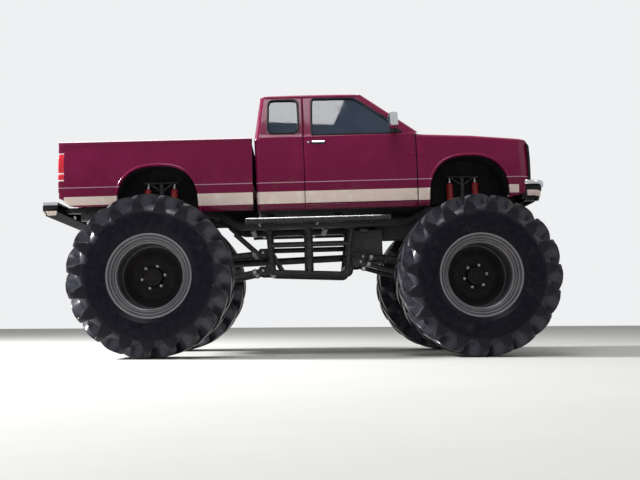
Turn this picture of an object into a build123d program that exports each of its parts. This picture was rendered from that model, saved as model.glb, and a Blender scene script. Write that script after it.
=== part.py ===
from build123d import *
import math
import os

os.makedirs("parts", exist_ok=True)

# A pickup body carried high on tube axles with tall lugged farm tyres.
# Millimetres and degrees. +X is forward, +Y is left, +Z is up, and the ground is at Z 0.

# Stance
wheelbase = 3122
track = 1920
body_pitch = 1.5
body_height = 1500
centre_shift = 138.6
front_axle_x = centre_shift + wheelbase / 2
rear_axle_x = centre_shift - wheelbase / 2

# Tyres and wheels, drawn with their axle along Z and their outer side towards +Z
tyre_r = 775
lug_pairs = 19
lug_height = 59
lug_top_r = tyre_r * math.cos(math.radians(9.5))
carcass_r = lug_top_r - lug_height
shoulder_r = 600
wall_half = 283
crown_half = 205
lug_half_width = 295
lug_root_r = 560
rim_r = 401
rim_half = 254
rim_well_r = 309
rim_step_r = 352
rim_step_depth = 22
rim_well_depth = 58
disc_recess = 307
disc_thickness = 16
hub_r = 88
hub_out = 62
hub_in = 86
stud_circle_r = 111.125
stud_count = 6
nut_width = 38
nut_height = 24
drum_r = 205
drum_width = 58

# Axles
tube_r = 75
banjo_r = 215
banjo_half = 90
carrier_r = 160
carrier_top = 240
pinion_z = 160
pinion_reach = 250
spindle_r = 50
spindle_sides = 18
spindle_cap = 8
axle_tube_half = 660
flange_y = axle_tube_half + 30
flange_r = 110
yoke_y = axle_tube_half + 15
yoke_half = 20
running_gap = 0.08
pin_sides = 12
leaf_pin_sides = 8
face_gap = 0.3
steer_y = axle_tube_half + 100
knuckle_r = 56
knuckle_half = 110
yoke_ear = 26
arm_drop = 140
arm_thickness = 30
tie_arm = 200
ram_arm = 180
ram_r = 34
rod_r = 18
rod_bore_low = 80
eye_r = 30
arm_stud_r = 14.5
link_r = 26
link_y = 320
upper_link_y = 250
link_eye_r = 40
link_eye_width = 56
shock_spread = 132
front_shock_y = 500
rear_shock_y = 600

# Frame
rail_inner = 335
rail_outer = 405
rail_depth = 140
mid_rail_top = -110
rear_rail_top = 80
front_rail_top = 0
post_r = 30

# Body, drawn level and then set nose-up on the frame
floor_low = -50
belt = 690
arch_r = 405
arch_z = 20
arch_sides = 32
bed_front_x = -607
bed_rear_x = -2525
rail_rear_x = bed_rear_x + 125
door_rear = -86
door_front = 1026
door_gap = 17
door_low = 12
glass = 6
bed_floor = 235
bed_inner = 690
bumper_low = 5
bumper_high = 165
step_high = 89
step_wall = 10


def place(x=0, y=0, z=0, turn=(0, 0, 0)):
    return Location((x, y, z), turn)


on_body = place(x=centre_shift, z=body_height, turn=(0, -body_pitch, 0))


def save(piece, label, location=Location()):
    """Move a finished piece to its place, label it and write it."""
    piece.part.move(location)
    piece.part.label = label
    export_step(piece.part, f"parts/{label}.step")


def slab(outline, inner, outer, mode=Mode.ADD):
    """Plate on the right side from a side outline, between two distances from the centre plane."""
    with BuildSketch(Plane.XZ.offset(inner)) as side_view:
        with BuildLine():
            Polyline(*outline, close=True)
        make_face()
    extrude(side_view.sketch, amount=outer - inner, mode=mode)


def bar(start, end, radius, sides=6, mode=Mode.ADD, to_corner=True):
    """Flat-sided bar from one point to another, its radius to the corners or to the flats."""
    run = Vector(*end) - Vector(*start)
    with BuildSketch(Plane(origin=start, z_dir=run)) as section:
        RegularPolygon(radius, sides, major_radius=to_corner)
    extrude(section.sketch, amount=run.length, mode=mode)


def pin_hole(start, end, pin_r, sides=pin_sides):
    """Hole for a flat-sided pin that turns in it with a running clearance."""
    bar(start, end, pin_r + running_gap, sides, Mode.SUBTRACT, to_corner=False)


def block(low, high, mode=Mode.ADD):
    """Rectangular block between two corners."""
    size = [top - bottom for bottom, top in zip(low, high)]
    centre = [(top + bottom) / 2 for bottom, top in zip(low, high)]
    with Locations(tuple(centre)):
        Box(*size, mode=mode)


# Tyre: a flat-sided carcass with bar lugs that stand out over the shoulders
with BuildPart() as lug:
    with BuildSketch(Plane(origin=(lug_root_r, 0, 0), x_dir=(0, 0, 1), z_dir=(1, 0, 0))):
        with BuildLine():
            Polyline((-14, 115), (-14, 35), (215, -112), (lug_half_width, -112),
                     (lug_half_width, 12), close=True)
        make_face()
    extrude(amount=lug_top_r - lug_root_r)

with BuildPart() as tyre:
    with BuildSketch(Plane.XY.offset(-wall_half)):
        RegularPolygon(carcass_r, lug_pairs, major_radius=False)
        RegularPolygon(rim_r + face_gap, lug_pairs, major_radius=False, mode=Mode.SUBTRACT)
    extrude(amount=2 * wall_half)
    for wall in (tyre.faces().sort_by(Axis.Z)[0], tyre.faces().sort_by(Axis.Z)[-1]):
        chamfer(wall.outer_wire().edges(), carcass_r - shoulder_r, wall_half - crown_half, reference=wall)
    with PolarLocations(0, lug_pairs):
        add(lug.part)
    with PolarLocations(0, lug_pairs, start_angle=180 / lug_pairs):
        add(mirror(lug.part, about=Plane.XY, mode=Mode.PRIVATE))

# Half a lug pitch sits either side of the lowest point, so each tyre stands on a flat
stand_angle = -90 - 90 / lug_pairs
stand_height = -tyre.part.rotate(Axis.Z, stand_angle).bounding_box().min.Y

# Wheel: stepped rim, deep well, set-back disc with hub, studs' nuts and brake drum
rim_sides = 20
rim_lip = 24
disc_face = rim_half - disc_recess
step_z = rim_half - rim_step_depth
with BuildPart() as wheel:
    with BuildSketch(Plane.XY.offset(-rim_half)):
        RegularPolygon(rim_r, rim_sides)
        RegularPolygon(rim_well_r, rim_sides, mode=Mode.SUBTRACT)
    extrude(amount=2 * rim_half)
    with BuildSketch(Plane.XY.offset(step_z)):
        RegularPolygon(rim_r - rim_lip, rim_sides)
    extrude(amount=rim_step_depth, mode=Mode.SUBTRACT)
    ledge = wheel.faces().filter_by(Axis.Z).filter_by_position(Axis.Z, step_z - 1, step_z + 1)[0]
    chamfer(ledge.inner_wires()[0].edges(), rim_step_r - rim_well_r, rim_well_depth - rim_step_depth,
            reference=ledge)
    with BuildSketch(Plane.XY.offset(disc_face - disc_thickness)):
        RegularPolygon(rim_well_r + 1, rim_sides)
    extrude(amount=disc_thickness)
    with BuildSketch(Plane.XY.offset(disc_face - hub_in)):
        RegularPolygon(hub_r, 2 * stud_count)
    extrude(amount=hub_in + hub_out)
    with BuildSketch(Plane.XY.offset(disc_face)):
        with PolarLocations(stud_circle_r, stud_count):
            RegularPolygon(nut_width / 2, 6)
    extrude(amount=nut_height)
    with BuildSketch(Plane.XY.offset(disc_face - disc_thickness)):
        RegularPolygon(drum_r, 2 * stud_count)
    extrude(amount=-drum_width)
    with BuildSketch(Plane.XY.offset(disc_face - hub_in)):
        RegularPolygon(spindle_r + running_gap, spindle_sides, major_radius=False)
    extrude(amount=hub_in + spindle_cap, mode=Mode.SUBTRACT)

corners = (("fl", front_axle_x, 1), ("fr", front_axle_x, -1), ("rl", rear_axle_x, 1), ("rr", rear_axle_x, -1))
for corner, axle_x, side in corners:
    stand = place(axle_x, track / 2, stand_height, (-90, 0, 0))
    with BuildPart() as corner_tyre:
        add(tyre.part.rotate(Axis.Z, 180 - stand_angle).moved(stand))
        if side < 0:
            mirror(about=Plane.XZ, mode=Mode.REPLACE)
    save(corner_tyre, f"tyre_{corner}")
    with BuildPart() as corner_wheel:
        add(wheel.part.moved(stand))
        if side < 0:
            mirror(about=Plane.XZ, mode=Mode.REPLACE)
    save(corner_wheel, f"wheel_{corner}")

# Axles, drawn about their own centre with the pinion towards +X
hub_seat = track / 2 + disc_face
lower_pin = (70, -105)
upper_pin = (60, 175)


def clevis(y, pin, base_z, mode=Mode.ADD):
    """Pair of plates on both sides of a link eye, from the tube to past the pin."""
    half = link_eye_width / 2 + face_gap
    for plate in (y - half - 10, y + half):
        block((pin[0] - 38, -plate - 10, min(base_z, pin[1] - 40)),
              (pin[0] + 38, -plate, max(base_z, pin[1] + 40)), mode)


def axle_core(shock_y):
    """Tube, banjo, top carrier, pinion nose, link and shock brackets shared by both axles."""
    bar((0, -axle_tube_half, 0), (0, axle_tube_half, 0), tube_r, 12)
    bar((0, 0, -banjo_half), (0, 0, banjo_half), banjo_r, 16)
    with BuildSketch(Plane.XY.offset(banjo_half)) as carrier:
        RegularPolygon(carrier_r, 12)
    extrude(carrier.sketch, amount=carrier_top - banjo_half, taper=8)
    bar((0, 0, pinion_z), (pinion_reach, 0, pinion_z), 72, 12)
    for y in (link_y, -link_y):
        clevis(y, lower_pin, 0)
    for y in (upper_link_y, -upper_link_y):
        clevis(y, upper_pin, 0)
    for y in (shock_y, -shock_y):
        block((-shock_spread - 40, y - 35, 20), (shock_spread + 40, y + 35, 45))


with BuildPart() as axle_rear:
    axle_core(rear_shock_y)
    for end in (1, -1):
        bar((0, end * (axle_tube_half - 5), 0), (0, end * flange_y, 0), flange_r, 12)
        bar((0, end * (flange_y - 1), 0), (0, end * hub_seat, 0), spindle_r, spindle_sides)
save(axle_rear, "axle_rear", place(rear_axle_x, z=stand_height))

ear_low = knuckle_half + face_gap
with BuildPart() as axle_front:
    axle_core(front_shock_y)
    for end in (1, -1):
        block((-60, end * yoke_y - yoke_half, -ear_low - yoke_ear),
              (60, end * yoke_y + yoke_half, ear_low + yoke_ear))
        for face in (ear_low, -ear_low - yoke_ear):
            block((-60, min(end * (yoke_y + 5), end * steer_y), face),
                  (60, max(end * (yoke_y + 5), end * steer_y), face + yoke_ear))
            bar((0, end * steer_y, face), (0, end * steer_y, face + yoke_ear), 60, 12)
    for saddle in (-150, 110):
        block((-ram_arm - 34, saddle - 25, -arm_drop - 50), (-60, saddle + 25, -50))
        bar((-ram_arm, saddle - 26, -arm_drop), (-ram_arm, saddle + 26, -arm_drop),
            ram_r + face_gap, 12, Mode.SUBTRACT)
save(axle_front, "axle_front", place(front_axle_x, z=stand_height, turn=(0, 0, 180)))

# Knuckles: kingpin barrel, spindle and parallel steering arms, drawn about the left kingpin
tie_face = -arm_drop + arm_thickness / 2
with BuildPart() as knuckle_r_part:
    bar((0, 0, -knuckle_half), (0, 0, knuckle_half), knuckle_r, 12)
    bar((0, 0, 0), (0, -(hub_seat - steer_y), 0), spindle_r, spindle_sides)
    with BuildSketch(Plane.XY.offset(-knuckle_half)):
        with BuildLine():
            Polyline((20, 30), (20, -50), (-30, -50), (-tie_arm + 10, -28),
                     (-tie_arm + 10, 28), (-30, 30), close=True)
        make_face()
        with Locations((-tie_arm, 0)):
            RegularPolygon(32, 8)
    extrude(amount=arm_thickness)
    bar((-tie_arm, 0, -knuckle_half - 60), (-tie_arm, 0, -knuckle_half + 1), arm_stud_r, pin_sides)
save(knuckle_r_part, "knuckle_r", place(front_axle_x, -steer_y, stand_height))

with BuildPart() as knuckle_l_part:
    bar((0, 0, -knuckle_half), (0, 0, knuckle_half), knuckle_r, 12)
    bar((0, 0, 0), (0, hub_seat - steer_y, 0), spindle_r, spindle_sides)
    with BuildSketch(Plane.XY.offset(-knuckle_half)):
        with BuildLine():
            Polyline((ram_arm - 10, 28), (30, 50), (-30, 50), (-tie_arm + 10, 28),
                     (-tie_arm + 10, -28), (-30, -30), (30, -30), (ram_arm - 10, -28), close=True)
        make_face()
        with Locations((-tie_arm, 0), (ram_arm, 0)):
            RegularPolygon(32, 8)
    extrude(amount=arm_thickness)
    bar((-tie_arm, 0, -knuckle_half - 60), (-tie_arm, 0, -knuckle_half + 1), arm_stud_r, pin_sides)
save(knuckle_l_part, "knuckle_l", place(front_axle_x, steer_y, stand_height))

# Tie rod below the arms, its eyes round the arms' studs
tie_x = front_axle_x - tie_arm
tie_z = stand_height - knuckle_half - 34
with BuildPart() as tie_rod:
    bar((tie_x, -steer_y + 22, tie_z), (tie_x, steer_y - 22, tie_z), 18)
    for y in (steer_y, -steer_y):
        bar((tie_x, y, tie_z - 20), (tie_x, y, tie_z + 20), eye_r)
        pin_hole((tie_x, y, tie_z - 21), (tie_x, y, tie_z + 21), arm_stud_r)
save(tie_rod, "tie_rod")

# Steering ram on the front of the axle, its rod's eye over the left arm
ram_x = front_axle_x + ram_arm
ram_z = stand_height - arm_drop
ram_end = 280
with BuildPart() as steer_ram:
    bar((ram_x, -330, ram_z), (ram_x, ram_end, ram_z), ram_r, 12)
    pin_hole((ram_x, rod_bore_low, ram_z), (ram_x, ram_end + 1, ram_z), rod_r)
save(steer_ram, "steer_ram")

eye_low = stand_height - knuckle_half + arm_thickness + 0.5
eye_high = eye_low + 34
with BuildPart() as ram_rod:
    bar((ram_x, rod_bore_low + 75, ram_z), (ram_x, steer_y - 75, ram_z), rod_r, pin_sides)
    block((ram_x - rod_r, steer_y - 90, ram_z - rod_r), (ram_x + rod_r, steer_y - 56, eye_high))
    block((ram_x - rod_r, steer_y - 60, eye_low), (ram_x + rod_r, steer_y, eye_high))
    bar((ram_x, steer_y, eye_low), (ram_x, steer_y, eye_high), eye_r - 2)
save(ram_rod, "ram_rod")


def spot(x, y, z):
    """World place of a point of the body's level frame."""
    return (on_body * Location((x, y, z))).position


# Links: four to each axle, each a tube with an eye at both ends
truss_pins = {
    "rear lower": (-545, link_y, -620),
    "rear upper": (-545, upper_link_y, -430),
    "front lower": (470, link_y, -560),
    "front upper": (500, upper_link_y, -500),
}
axle_pins = {
    "rear lower": (rear_axle_x + lower_pin[0], link_y, stand_height + lower_pin[1]),
    "rear upper": (rear_axle_x + upper_pin[0], upper_link_y, stand_height + upper_pin[1]),
    "front lower": (front_axle_x - lower_pin[0], link_y, stand_height + lower_pin[1]),
    "front upper": (front_axle_x - upper_pin[0], upper_link_y, stand_height + upper_pin[1]),
}
with BuildPart() as links:
    for name, pin in truss_pins.items():
        inner = spot(*pin)
        outer = Vector(*axle_pins[name])
        bar(inner, outer, link_r)
        for eye in (inner, outer):
            half = Vector(0, link_eye_width / 2, 0)
            bar(eye - half, eye + half, link_eye_r)
    mirror(about=Plane.XZ)
save(links, "links")

# Frame: kicked rails, cross tubes, body and bed blocks, shock towers and bumper irons
tower_top = 270
tower_x = {"front": 1538, "rear": -1539}
bed_block_x = (bed_rear_x + 225, -1560, -1040)
cab_block_x = (-450, 250, 800)
core_low = 75
core_x = 2055
iron_inner = 345
iron_outer = 395
with BuildPart() as frame:
    slab([(rail_rear_x, rear_rail_top), (-1000, rear_rail_top), (-800, mid_rail_top), (1000, mid_rail_top),
          (1180, front_rail_top), (2080, front_rail_top), (2080, front_rail_top - rail_depth),
          (1180, front_rail_top - rail_depth), (1000, mid_rail_top - rail_depth),
          (-800, mid_rail_top - rail_depth), (-1000, rear_rail_top - rail_depth),
          (rail_rear_x, rear_rail_top - rail_depth)], rail_inner, rail_outer)
    block((bed_rear_x - 115, -iron_outer, 20),
          (rail_rear_x + 10, -iron_inner, step_high - step_wall - face_gap))
    block((2000, -iron_outer, -60), (2371, -iron_inner, 60))
    rail_y = (rail_inner + rail_outer) / 2
    for x in bed_block_x:
        block((x - 45, -rail_outer, rear_rail_top - 1), (x + 45, -rail_inner, bed_floor - 60.3))
    for x in cab_block_x:
        bar((x, -rail_y, mid_rail_top - 1), (x, -rail_y, floor_low - face_gap), 40)
    block((core_x - 20, -rail_outer, -1), (core_x + 20, -rail_inner, core_low - face_gap))
    for end, shock_y, arm_z in (("front", front_shock_y, -70), ("rear", rear_shock_y, 10)):
        x = tower_x[end]
        bar((x, -rail_outer + 5, arm_z), (x, -shock_y - 20, arm_z), 24)
        bar((x, -shock_y, arm_z - 36), (x, -shock_y, tower_top + 2), 24)
        block((x - shock_spread - 35, -shock_y - 30, tower_top),
              (x + shock_spread + 35, -shock_y + 30, tower_top + 14))
    mirror(about=Plane.XZ)
    for x, z in ((bed_rear_x + 195, 10), (-1060, 10), (-650, -180), (120, -180), (1960, -70)):
        bar((x, -rail_inner - 5, z), (x, rail_inner + 5, z), 32)
save(frame, "frame", on_body)

# Truss under the frame that carries the links and the gearbox
truss_y = rail_y
rail_floor = mid_rail_top - rail_depth
post_feet = ((-475, -450, -645), (-62, -62, -666), (385, 325, -686))
bracket_reach = link_eye_width / 2 + face_gap
with BuildPart() as truss:
    for top_x, foot_x, foot_z in post_feet:
        bar((top_x, -truss_y, rail_floor - 6), (foot_x, -truss_y, foot_z), post_r)
        block((top_x - 55, -rail_outer, rail_floor - 12), (top_x + 55, -rail_inner, rail_floor))
    bar((-480, -truss_y, -643), (355, -truss_y, -688), post_r)
    bar((-468, -truss_y, -400), (-330, -truss_y, -648), 20)
    bar((352, -truss_y, -500), (352, -upper_link_y + bracket_reach + 10, -500), 22)
    for pin, root_x in ((truss_pins["rear lower"], -430), (truss_pins["rear upper"], -440),
                        (truss_pins["front lower"], 325), (truss_pins["front upper"], 335)):
        x, y, z = pin
        away = 42 if x > 0 else -42
        for plate in (y - bracket_reach - 10, y + bracket_reach):
            block((min(x + away, root_x), -plate - 10, z - 42), (max(x + away, root_x), -plate, z + 42))
    mirror(about=Plane.XZ)
    for x, z in ((-450, -645), (-464, -425), (338, -600)):
        bar((x, -truss_y, z), (x, truss_y, z), 28)
save(truss, "truss", on_body)

# Engine, gearbox with transfer case, and shafts to both axles
with BuildPart() as engine:
    block((1180, -270, -310), (1760, 270, 250))
    block((1400, -rail_inner + face_gap, -120), (1500, rail_inner - face_gap, -60))
save(engine, "engine", on_body)

output_z = -490
case_front = 720
case_rear = 400
with BuildPart() as gearbox:
    block((case_rear, -195, -560), (case_front, 195, -215))
    block((case_front - 40, -120, -310), (1110, 120, -72))
    bar((1100, 0, -190), (1180 - face_gap, 0, -190), 190, 12)
    block((480, -rail_inner + face_gap, -246), (560, rail_inner - face_gap, -216))
save(gearbox, "gearbox", on_body)

shaft_r = 35
joint_r = 56
tilt_gap = face_gap + joint_r * math.sin(math.radians(body_pitch))
with BuildPart() as driveshafts:
    for case_x, axle_x, forward in ((case_front, front_axle_x, -1), (case_rear, rear_axle_x, 1)):
        near = spot(case_x - forward * tilt_gap, 0, output_z)
        far = Vector(axle_x + forward * (pinion_reach + face_gap), 0, stand_height + pinion_z)
        reach = Vector(-forward * 60, 0, 0)
        bar(near, near + reach, joint_r, 12)
        bar(near + reach * 0.9, far - reach * 0.9, shaft_r)
        bar(far - reach, far, joint_r, 12)
save(driveshafts, "driveshafts")

# Shocks: rods stand on the axle pads, bodies hang from the towers
pad_top = stand_height + 45
with BuildPart() as shock_bodies:
    for end, axle_x, shock_y in (("front", front_axle_x, front_shock_y), ("rear", rear_axle_x, rear_shock_y)):
        for step in (-shock_spread, shock_spread):
            foot = Vector(axle_x + step, -shock_y, pad_top + 0.9)
            head = spot(tower_x[end] + step, -shock_y, tower_top - 0.9)
            along = (head - foot).normalized()
            bar(foot + along * 360, head - along * 50, 31)
    mirror(about=Plane.XZ)
save(shock_bodies, "shock_bodies")

with BuildPart() as shock_rods:
    for end, axle_x, shock_y in (("front", front_axle_x, front_shock_y), ("rear", rear_axle_x, rear_shock_y)):
        for step in (-shock_spread, shock_spread):
            foot = Vector(axle_x + step, -shock_y, pad_top + 0.9)
            head = spot(tower_x[end] + step, -shock_y, tower_top - 0.9)
            along = (head - foot).normalized()
            bar(foot, foot + along * (360 - face_gap), 15)
            bar(head - along * (50 - face_gap), head, 20)
    mirror(about=Plane.XZ)
save(shock_rods, "shock_rods")

# Body envelope: one cross-section along the whole body, inset for walls and glass
body_section = [(-770, -50), (-798, 60), (-808, 222), (-800, 500), (-775, 690), (-640, 1120),
                (-600, 1160), (-500, 1178), (500, 1178), (600, 1160), (640, 1120), (775, 690),
                (800, 500), (808, 222), (798, 60), (770, -50)]
cab_outline = [(-570, floor_low), (-588, 658), (-522, 1127), (-480, 1166), (0, 1178), (250, 1176),
               (497, 1164), (1072, 712), (1090, 700), (1090, floor_low)]
wall = 45


def envelope(inset=0):
    """Solid inside the body's cross-section, moved in by an inset."""
    with BuildPart(mode=Mode.PRIVATE) as space:
        with BuildSketch(Plane.YZ) as section:
            with BuildLine():
                Polyline(*body_section, close=True)
            make_face()
            if inset:
                offset(amount=-inset, kind=Kind.INTERSECTION)
        extrude(section.sketch, amount=3000, both=True)
    return space.part


def cab_solid(inset=0):
    """Cab's outer form, or its space when inset by a wall."""
    with BuildPart(mode=Mode.PRIVATE) as form:
        with BuildSketch(Plane.XZ) as outline:
            with BuildLine():
                Polyline(*cab_outline, close=True)
            make_face()
            if inset:
                offset(amount=-inset, kind=Kind.INTERSECTION)
        extrude(outline.sketch, amount=900, both=True)
        add(envelope(inset), mode=Mode.INTERSECT)
    return form.part


def window(outline, inner, outer, grow=0, corner=0, mode=Mode.ADD):
    """Slab like slab(), with its outline grown and its corners cut."""
    with BuildSketch(Plane.XZ.offset(inner)) as opening:
        with BuildLine():
            Polyline(*outline, close=True)
        make_face()
        if grow:
            offset(amount=grow, kind=Kind.INTERSECTION)
        if corner:
            chamfer(opening.vertices(), corner)
    extrude(opening.sketch, amount=outer - inner, mode=mode)


door_outline = [(door_rear, door_low), (door_rear, 1128), (458, 1128), (1010, 694), (door_front, 670),
                (door_front, door_low)]
door_window = [(-13, 705), (2, 1104), (428, 1104), (794, 834), (794, 705)]
quarter_window = [(-455, 728), (-440, 1095), (-142, 1095), (-142, 728)]
screen_foot = Vector(1072, 0, 712)
screen_head = Vector(497, 0, 1164)
screen_up = (screen_head - screen_foot).normalized()
screen_plane = Plane(origin=screen_foot, x_dir=(0, 1, 0), z_dir=Vector(0, 1, 0).cross(screen_up))
screen_length = (screen_head - screen_foot).length
hinge_x = 1031
hinge_y = 797
hinge_heights = (150, 480)
hinge_pin_r = 4
hinge_half = 30
post_y = 765
fender_rear = 1045
hood_rear = 1108
hood_axis = (1102, 680)
hood_hinge_y = 560
hood_pin_r = 5
cab_outer = cab_solid()
cab_space = cab_solid(wall)


def screen(grow, depth_low, depth_high, mode):
    """Windscreen trapezoid in its own raked plane."""
    low = 62 - grow
    high = screen_length - 48 + grow
    with BuildSketch(screen_plane.offset(depth_low)) as pane:
        with BuildLine():
            Polyline((-672 - grow, low), (672 + grow, low), (538 + grow, high), (-538 - grow, high),
                     close=True)
        make_face()
    extrude(pane.sketch, amount=depth_high - depth_low, mode=mode)


with BuildPart() as cab_shell:
    add(cab_outer)
    add(cab_space, mode=Mode.SUBTRACT)
    window(door_outline, 500, 900, grow=door_gap, mode=Mode.SUBTRACT)
    window(quarter_window, 500, 900, corner=16, mode=Mode.SUBTRACT)
    mirror(cab_shell.part, about=Plane.XZ, mode=Mode.INTERSECT)
    for side in (1, -1):
        block((door_front + door_gap, min(side * post_y, side * 900), -60),
              (1100, max(side * post_y, side * 900), 720), Mode.SUBTRACT)
        for height in hinge_heights:
            for low, high in ((-hinge_half, -10), (10, hinge_half)):
                block((hinge_x - 7, min(side * 750, side * (hinge_y + 4)), height + low),
                      (fender_rear - face_gap, max(side * 750, side * (hinge_y + 4)), height + high))
                block((hinge_x, min(side * 750, side * post_y), height + low),
                      (hinge_x + 40, max(side * 750, side * post_y), height + high))
            pin_hole((hinge_x, side * hinge_y, height - 40), (hinge_x, side * hinge_y, height + 40),
                     hinge_pin_r, leaf_pin_sides)
    block((-700, -500, 745), (-480, 500, 1050), Mode.SUBTRACT)
    screen(0, -120, 120, Mode.SUBTRACT)
    for side in (1, -1):
        near = side * (hood_hinge_y + 2)
        far = side * (hood_hinge_y + 28)
        block((1085, min(near, far), hood_axis[1] - 8), (hood_axis[0] + 8, max(near, far), hood_axis[1] + 8))
        pin_hole((hood_axis[0], near - side, hood_axis[1]), (hood_axis[0], far + side, hood_axis[1]),
                 hood_pin_r, leaf_pin_sides)
save(cab_shell, "cab_shell", on_body)

# Doors: the wall inside the door opening, with window cut and hinge pins
glass_depth = 20
with BuildPart() as pane_space:
    add(envelope(glass_depth))
    add(envelope(glass_depth + glass), mode=Mode.SUBTRACT)

mirror_base = [(790, 715), (905, 715), (838, 775), (790, 775)]
for letter, side in (("l", 1), ("r", -1)):
    with BuildPart() as door:
        window(door_outline, 500, 900)
        add(cab_outer, mode=Mode.INTERSECT)
        add(cab_space, mode=Mode.SUBTRACT)
        window(door_window, 500, 900, corner=14, mode=Mode.SUBTRACT)
        for height in hinge_heights:
            block((1008, -830, height - 36), (door_front + 1, -740, height + 36), Mode.SUBTRACT)
            bar((hinge_x, -hinge_y, height - hinge_half + 2),
                (hinge_x, -hinge_y, height + hinge_half - 2), hinge_pin_r, leaf_pin_sides)
            block((door_front - 30, -hinge_y - 5, height - 9), (hinge_x + 4, -hinge_y + 5, height + 9))
        if side > 0:
            mirror(about=Plane.XZ, mode=Mode.REPLACE)
    save(door, f"door_{letter}", on_body)
    with BuildPart() as door_glass:
        window(door_window, 500, 900, grow=-face_gap, corner=14)
        add(pane_space.part, mode=Mode.INTERSECT)
        if side > 0:
            mirror(about=Plane.XZ, mode=Mode.REPLACE)
    save(door_glass, f"door_glass_{letter}", on_body)
    with BuildPart() as door_mirror:
        slab(mirror_base, 700, 850)
        slab([(800, 760), (900, 760), (880, 790), (800, 790)], 800, 900)
        block((748, -1010, 752), (846, -835, 896))
        add(cab_outer, mode=Mode.SUBTRACT)
        if side > 0:
            mirror(about=Plane.XZ, mode=Mode.REPLACE)
    save(door_mirror, f"mirror_{letter}", on_body)

with BuildPart() as cab_glass:
    window(quarter_window, 500, 900, grow=-face_gap, corner=16)
    add(pane_space.part, mode=Mode.INTERSECT)
    mirror(about=Plane.XZ)
    block((-560, -500 + face_gap, 745 + face_gap), (-554, 500 - face_gap, 1050 - face_gap))
    screen(-face_gap, -glass_depth - glass, -glass_depth, Mode.ADD)
save(cab_glass, "cab_glass", on_body)

# Cab fittings seen through the glass
cab_floor = floor_low + wall + face_gap
with BuildPart() as seats:
    slab([(-40, cab_floor), (470, cab_floor), (500, 250), (90, 215), (-30, 690), (-40, 830), (-110, 830),
          (-150, 640), (-60, 180)], 150, 640)
    mirror(about=Plane.XZ)
save(seats, "seats", on_body)

wheel_seat = (700, 380, 560)
rim_tilt = Vector(-1, 0, 0.45)
with BuildPart() as dashboard:
    slab([(1044.7, 300), (900, 300), (800, 420), (790, 560), (850, 640), (1044.7, 660)], 0, 720)
    mirror(about=Plane.XZ)
save(dashboard, "dashboard", on_body)
with BuildPart() as steering_wheel:
    hub = Plane(origin=wheel_seat, z_dir=rim_tilt)
    with BuildSketch(hub):
        RegularPolygon(190, 24)
        RegularPolygon(168, 24, mode=Mode.SUBTRACT)
        Rectangle(350, 30)
        RegularPolygon(40, 8)
    extrude(amount=20)
    along = rim_tilt.normalized()
    column_end = Vector(*wheel_seat) - along * 145
    bar(column_end, Vector(*wheel_seat) + along, 24)
    add(dashboard.part.moved(on_body.inverse()), mode=Mode.SUBTRACT)
save(steering_wheel, "steering_wheel", on_body)

# Front fenders with their arches, top flanges and the core support that joins them
arch_front_x = 1556
arch_rear_x = -1554
fender_in = 773
deck_in = 650
fender_outline = [(fender_rear, -45), (fender_rear, 688), (1590, 660), (2150, 606), (2184, 574), (2168, 180),
                  (2092, bumper_high), (2092, 55), (arch_front_x, 55), (arch_front_x, -45)]
with BuildPart() as front_fenders:
    slab(fender_outline, fender_in, 830)
    slab([(hood_rear, 685), (1590, 660), (2150, 606), (2150, 576), (1590, 630), (hood_rear, 655)],
         deck_in, fender_in + 1)
    mirror(about=Plane.XZ)
    add(envelope(), mode=Mode.INTERSECT)
    for side in (1, -1):
        bar((arch_front_x, side * 500, arch_z), (arch_front_x, side * 900, arch_z),
            arch_r, arch_sides, Mode.SUBTRACT)
    block((core_x - 15, -fender_in - 1, core_low), (core_x + 15, fender_in + 1, 560))
    block((core_x - 20, -400, 140), (core_x + 20, 400, 500), Mode.SUBTRACT)
save(front_fenders, "front_fenders", on_body)

# Nose: grille with bars, and lamps
grille_x = 2120
grille_face = 2168
lamp_low = 330
lamp_high = 500
lamp_spans = ((505, 610), (622, 727))
bar_count = 5
with BuildPart() as grille:
    slab([(grille_x, 230), (grille_x, 572), (grille_face + 12, 572), (grille_face, 230)],
         0, fender_in - face_gap)
    slab([(grille_x - 5, 300), (grille_x - 5, 525), (grille_face + 20, 525), (grille_face + 20, 300)],
         -1, 480, Mode.SUBTRACT)
    for inner, outer in lamp_spans:
        slab([(grille_x - 5, lamp_low), (grille_x - 5, lamp_high), (grille_face + 20, lamp_high),
              (grille_face + 20, lamp_low)], inner, outer, Mode.SUBTRACT)
    for index in range(bar_count):
        height = 300 + (index + 1) * 225 / (bar_count + 1)
        slab([(grille_x + 8, height - 6), (grille_x + 8, height + 6), (grille_face - 6, height + 6),
              (grille_face - 6, height - 6)], -1, 481)
    mirror(about=Plane.XZ)
save(grille, "grille", on_body)

with BuildPart() as headlamps:
    for inner, outer in lamp_spans:
        slab([(grille_x + 2, lamp_low + face_gap), (grille_x + 2, lamp_high - face_gap),
              (grille_face + 2, lamp_high - face_gap), (grille_face + 2, lamp_low + face_gap)],
             inner + face_gap, outer - face_gap)
    mirror(about=Plane.XZ)
save(headlamps, "headlamps", on_body)

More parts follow.
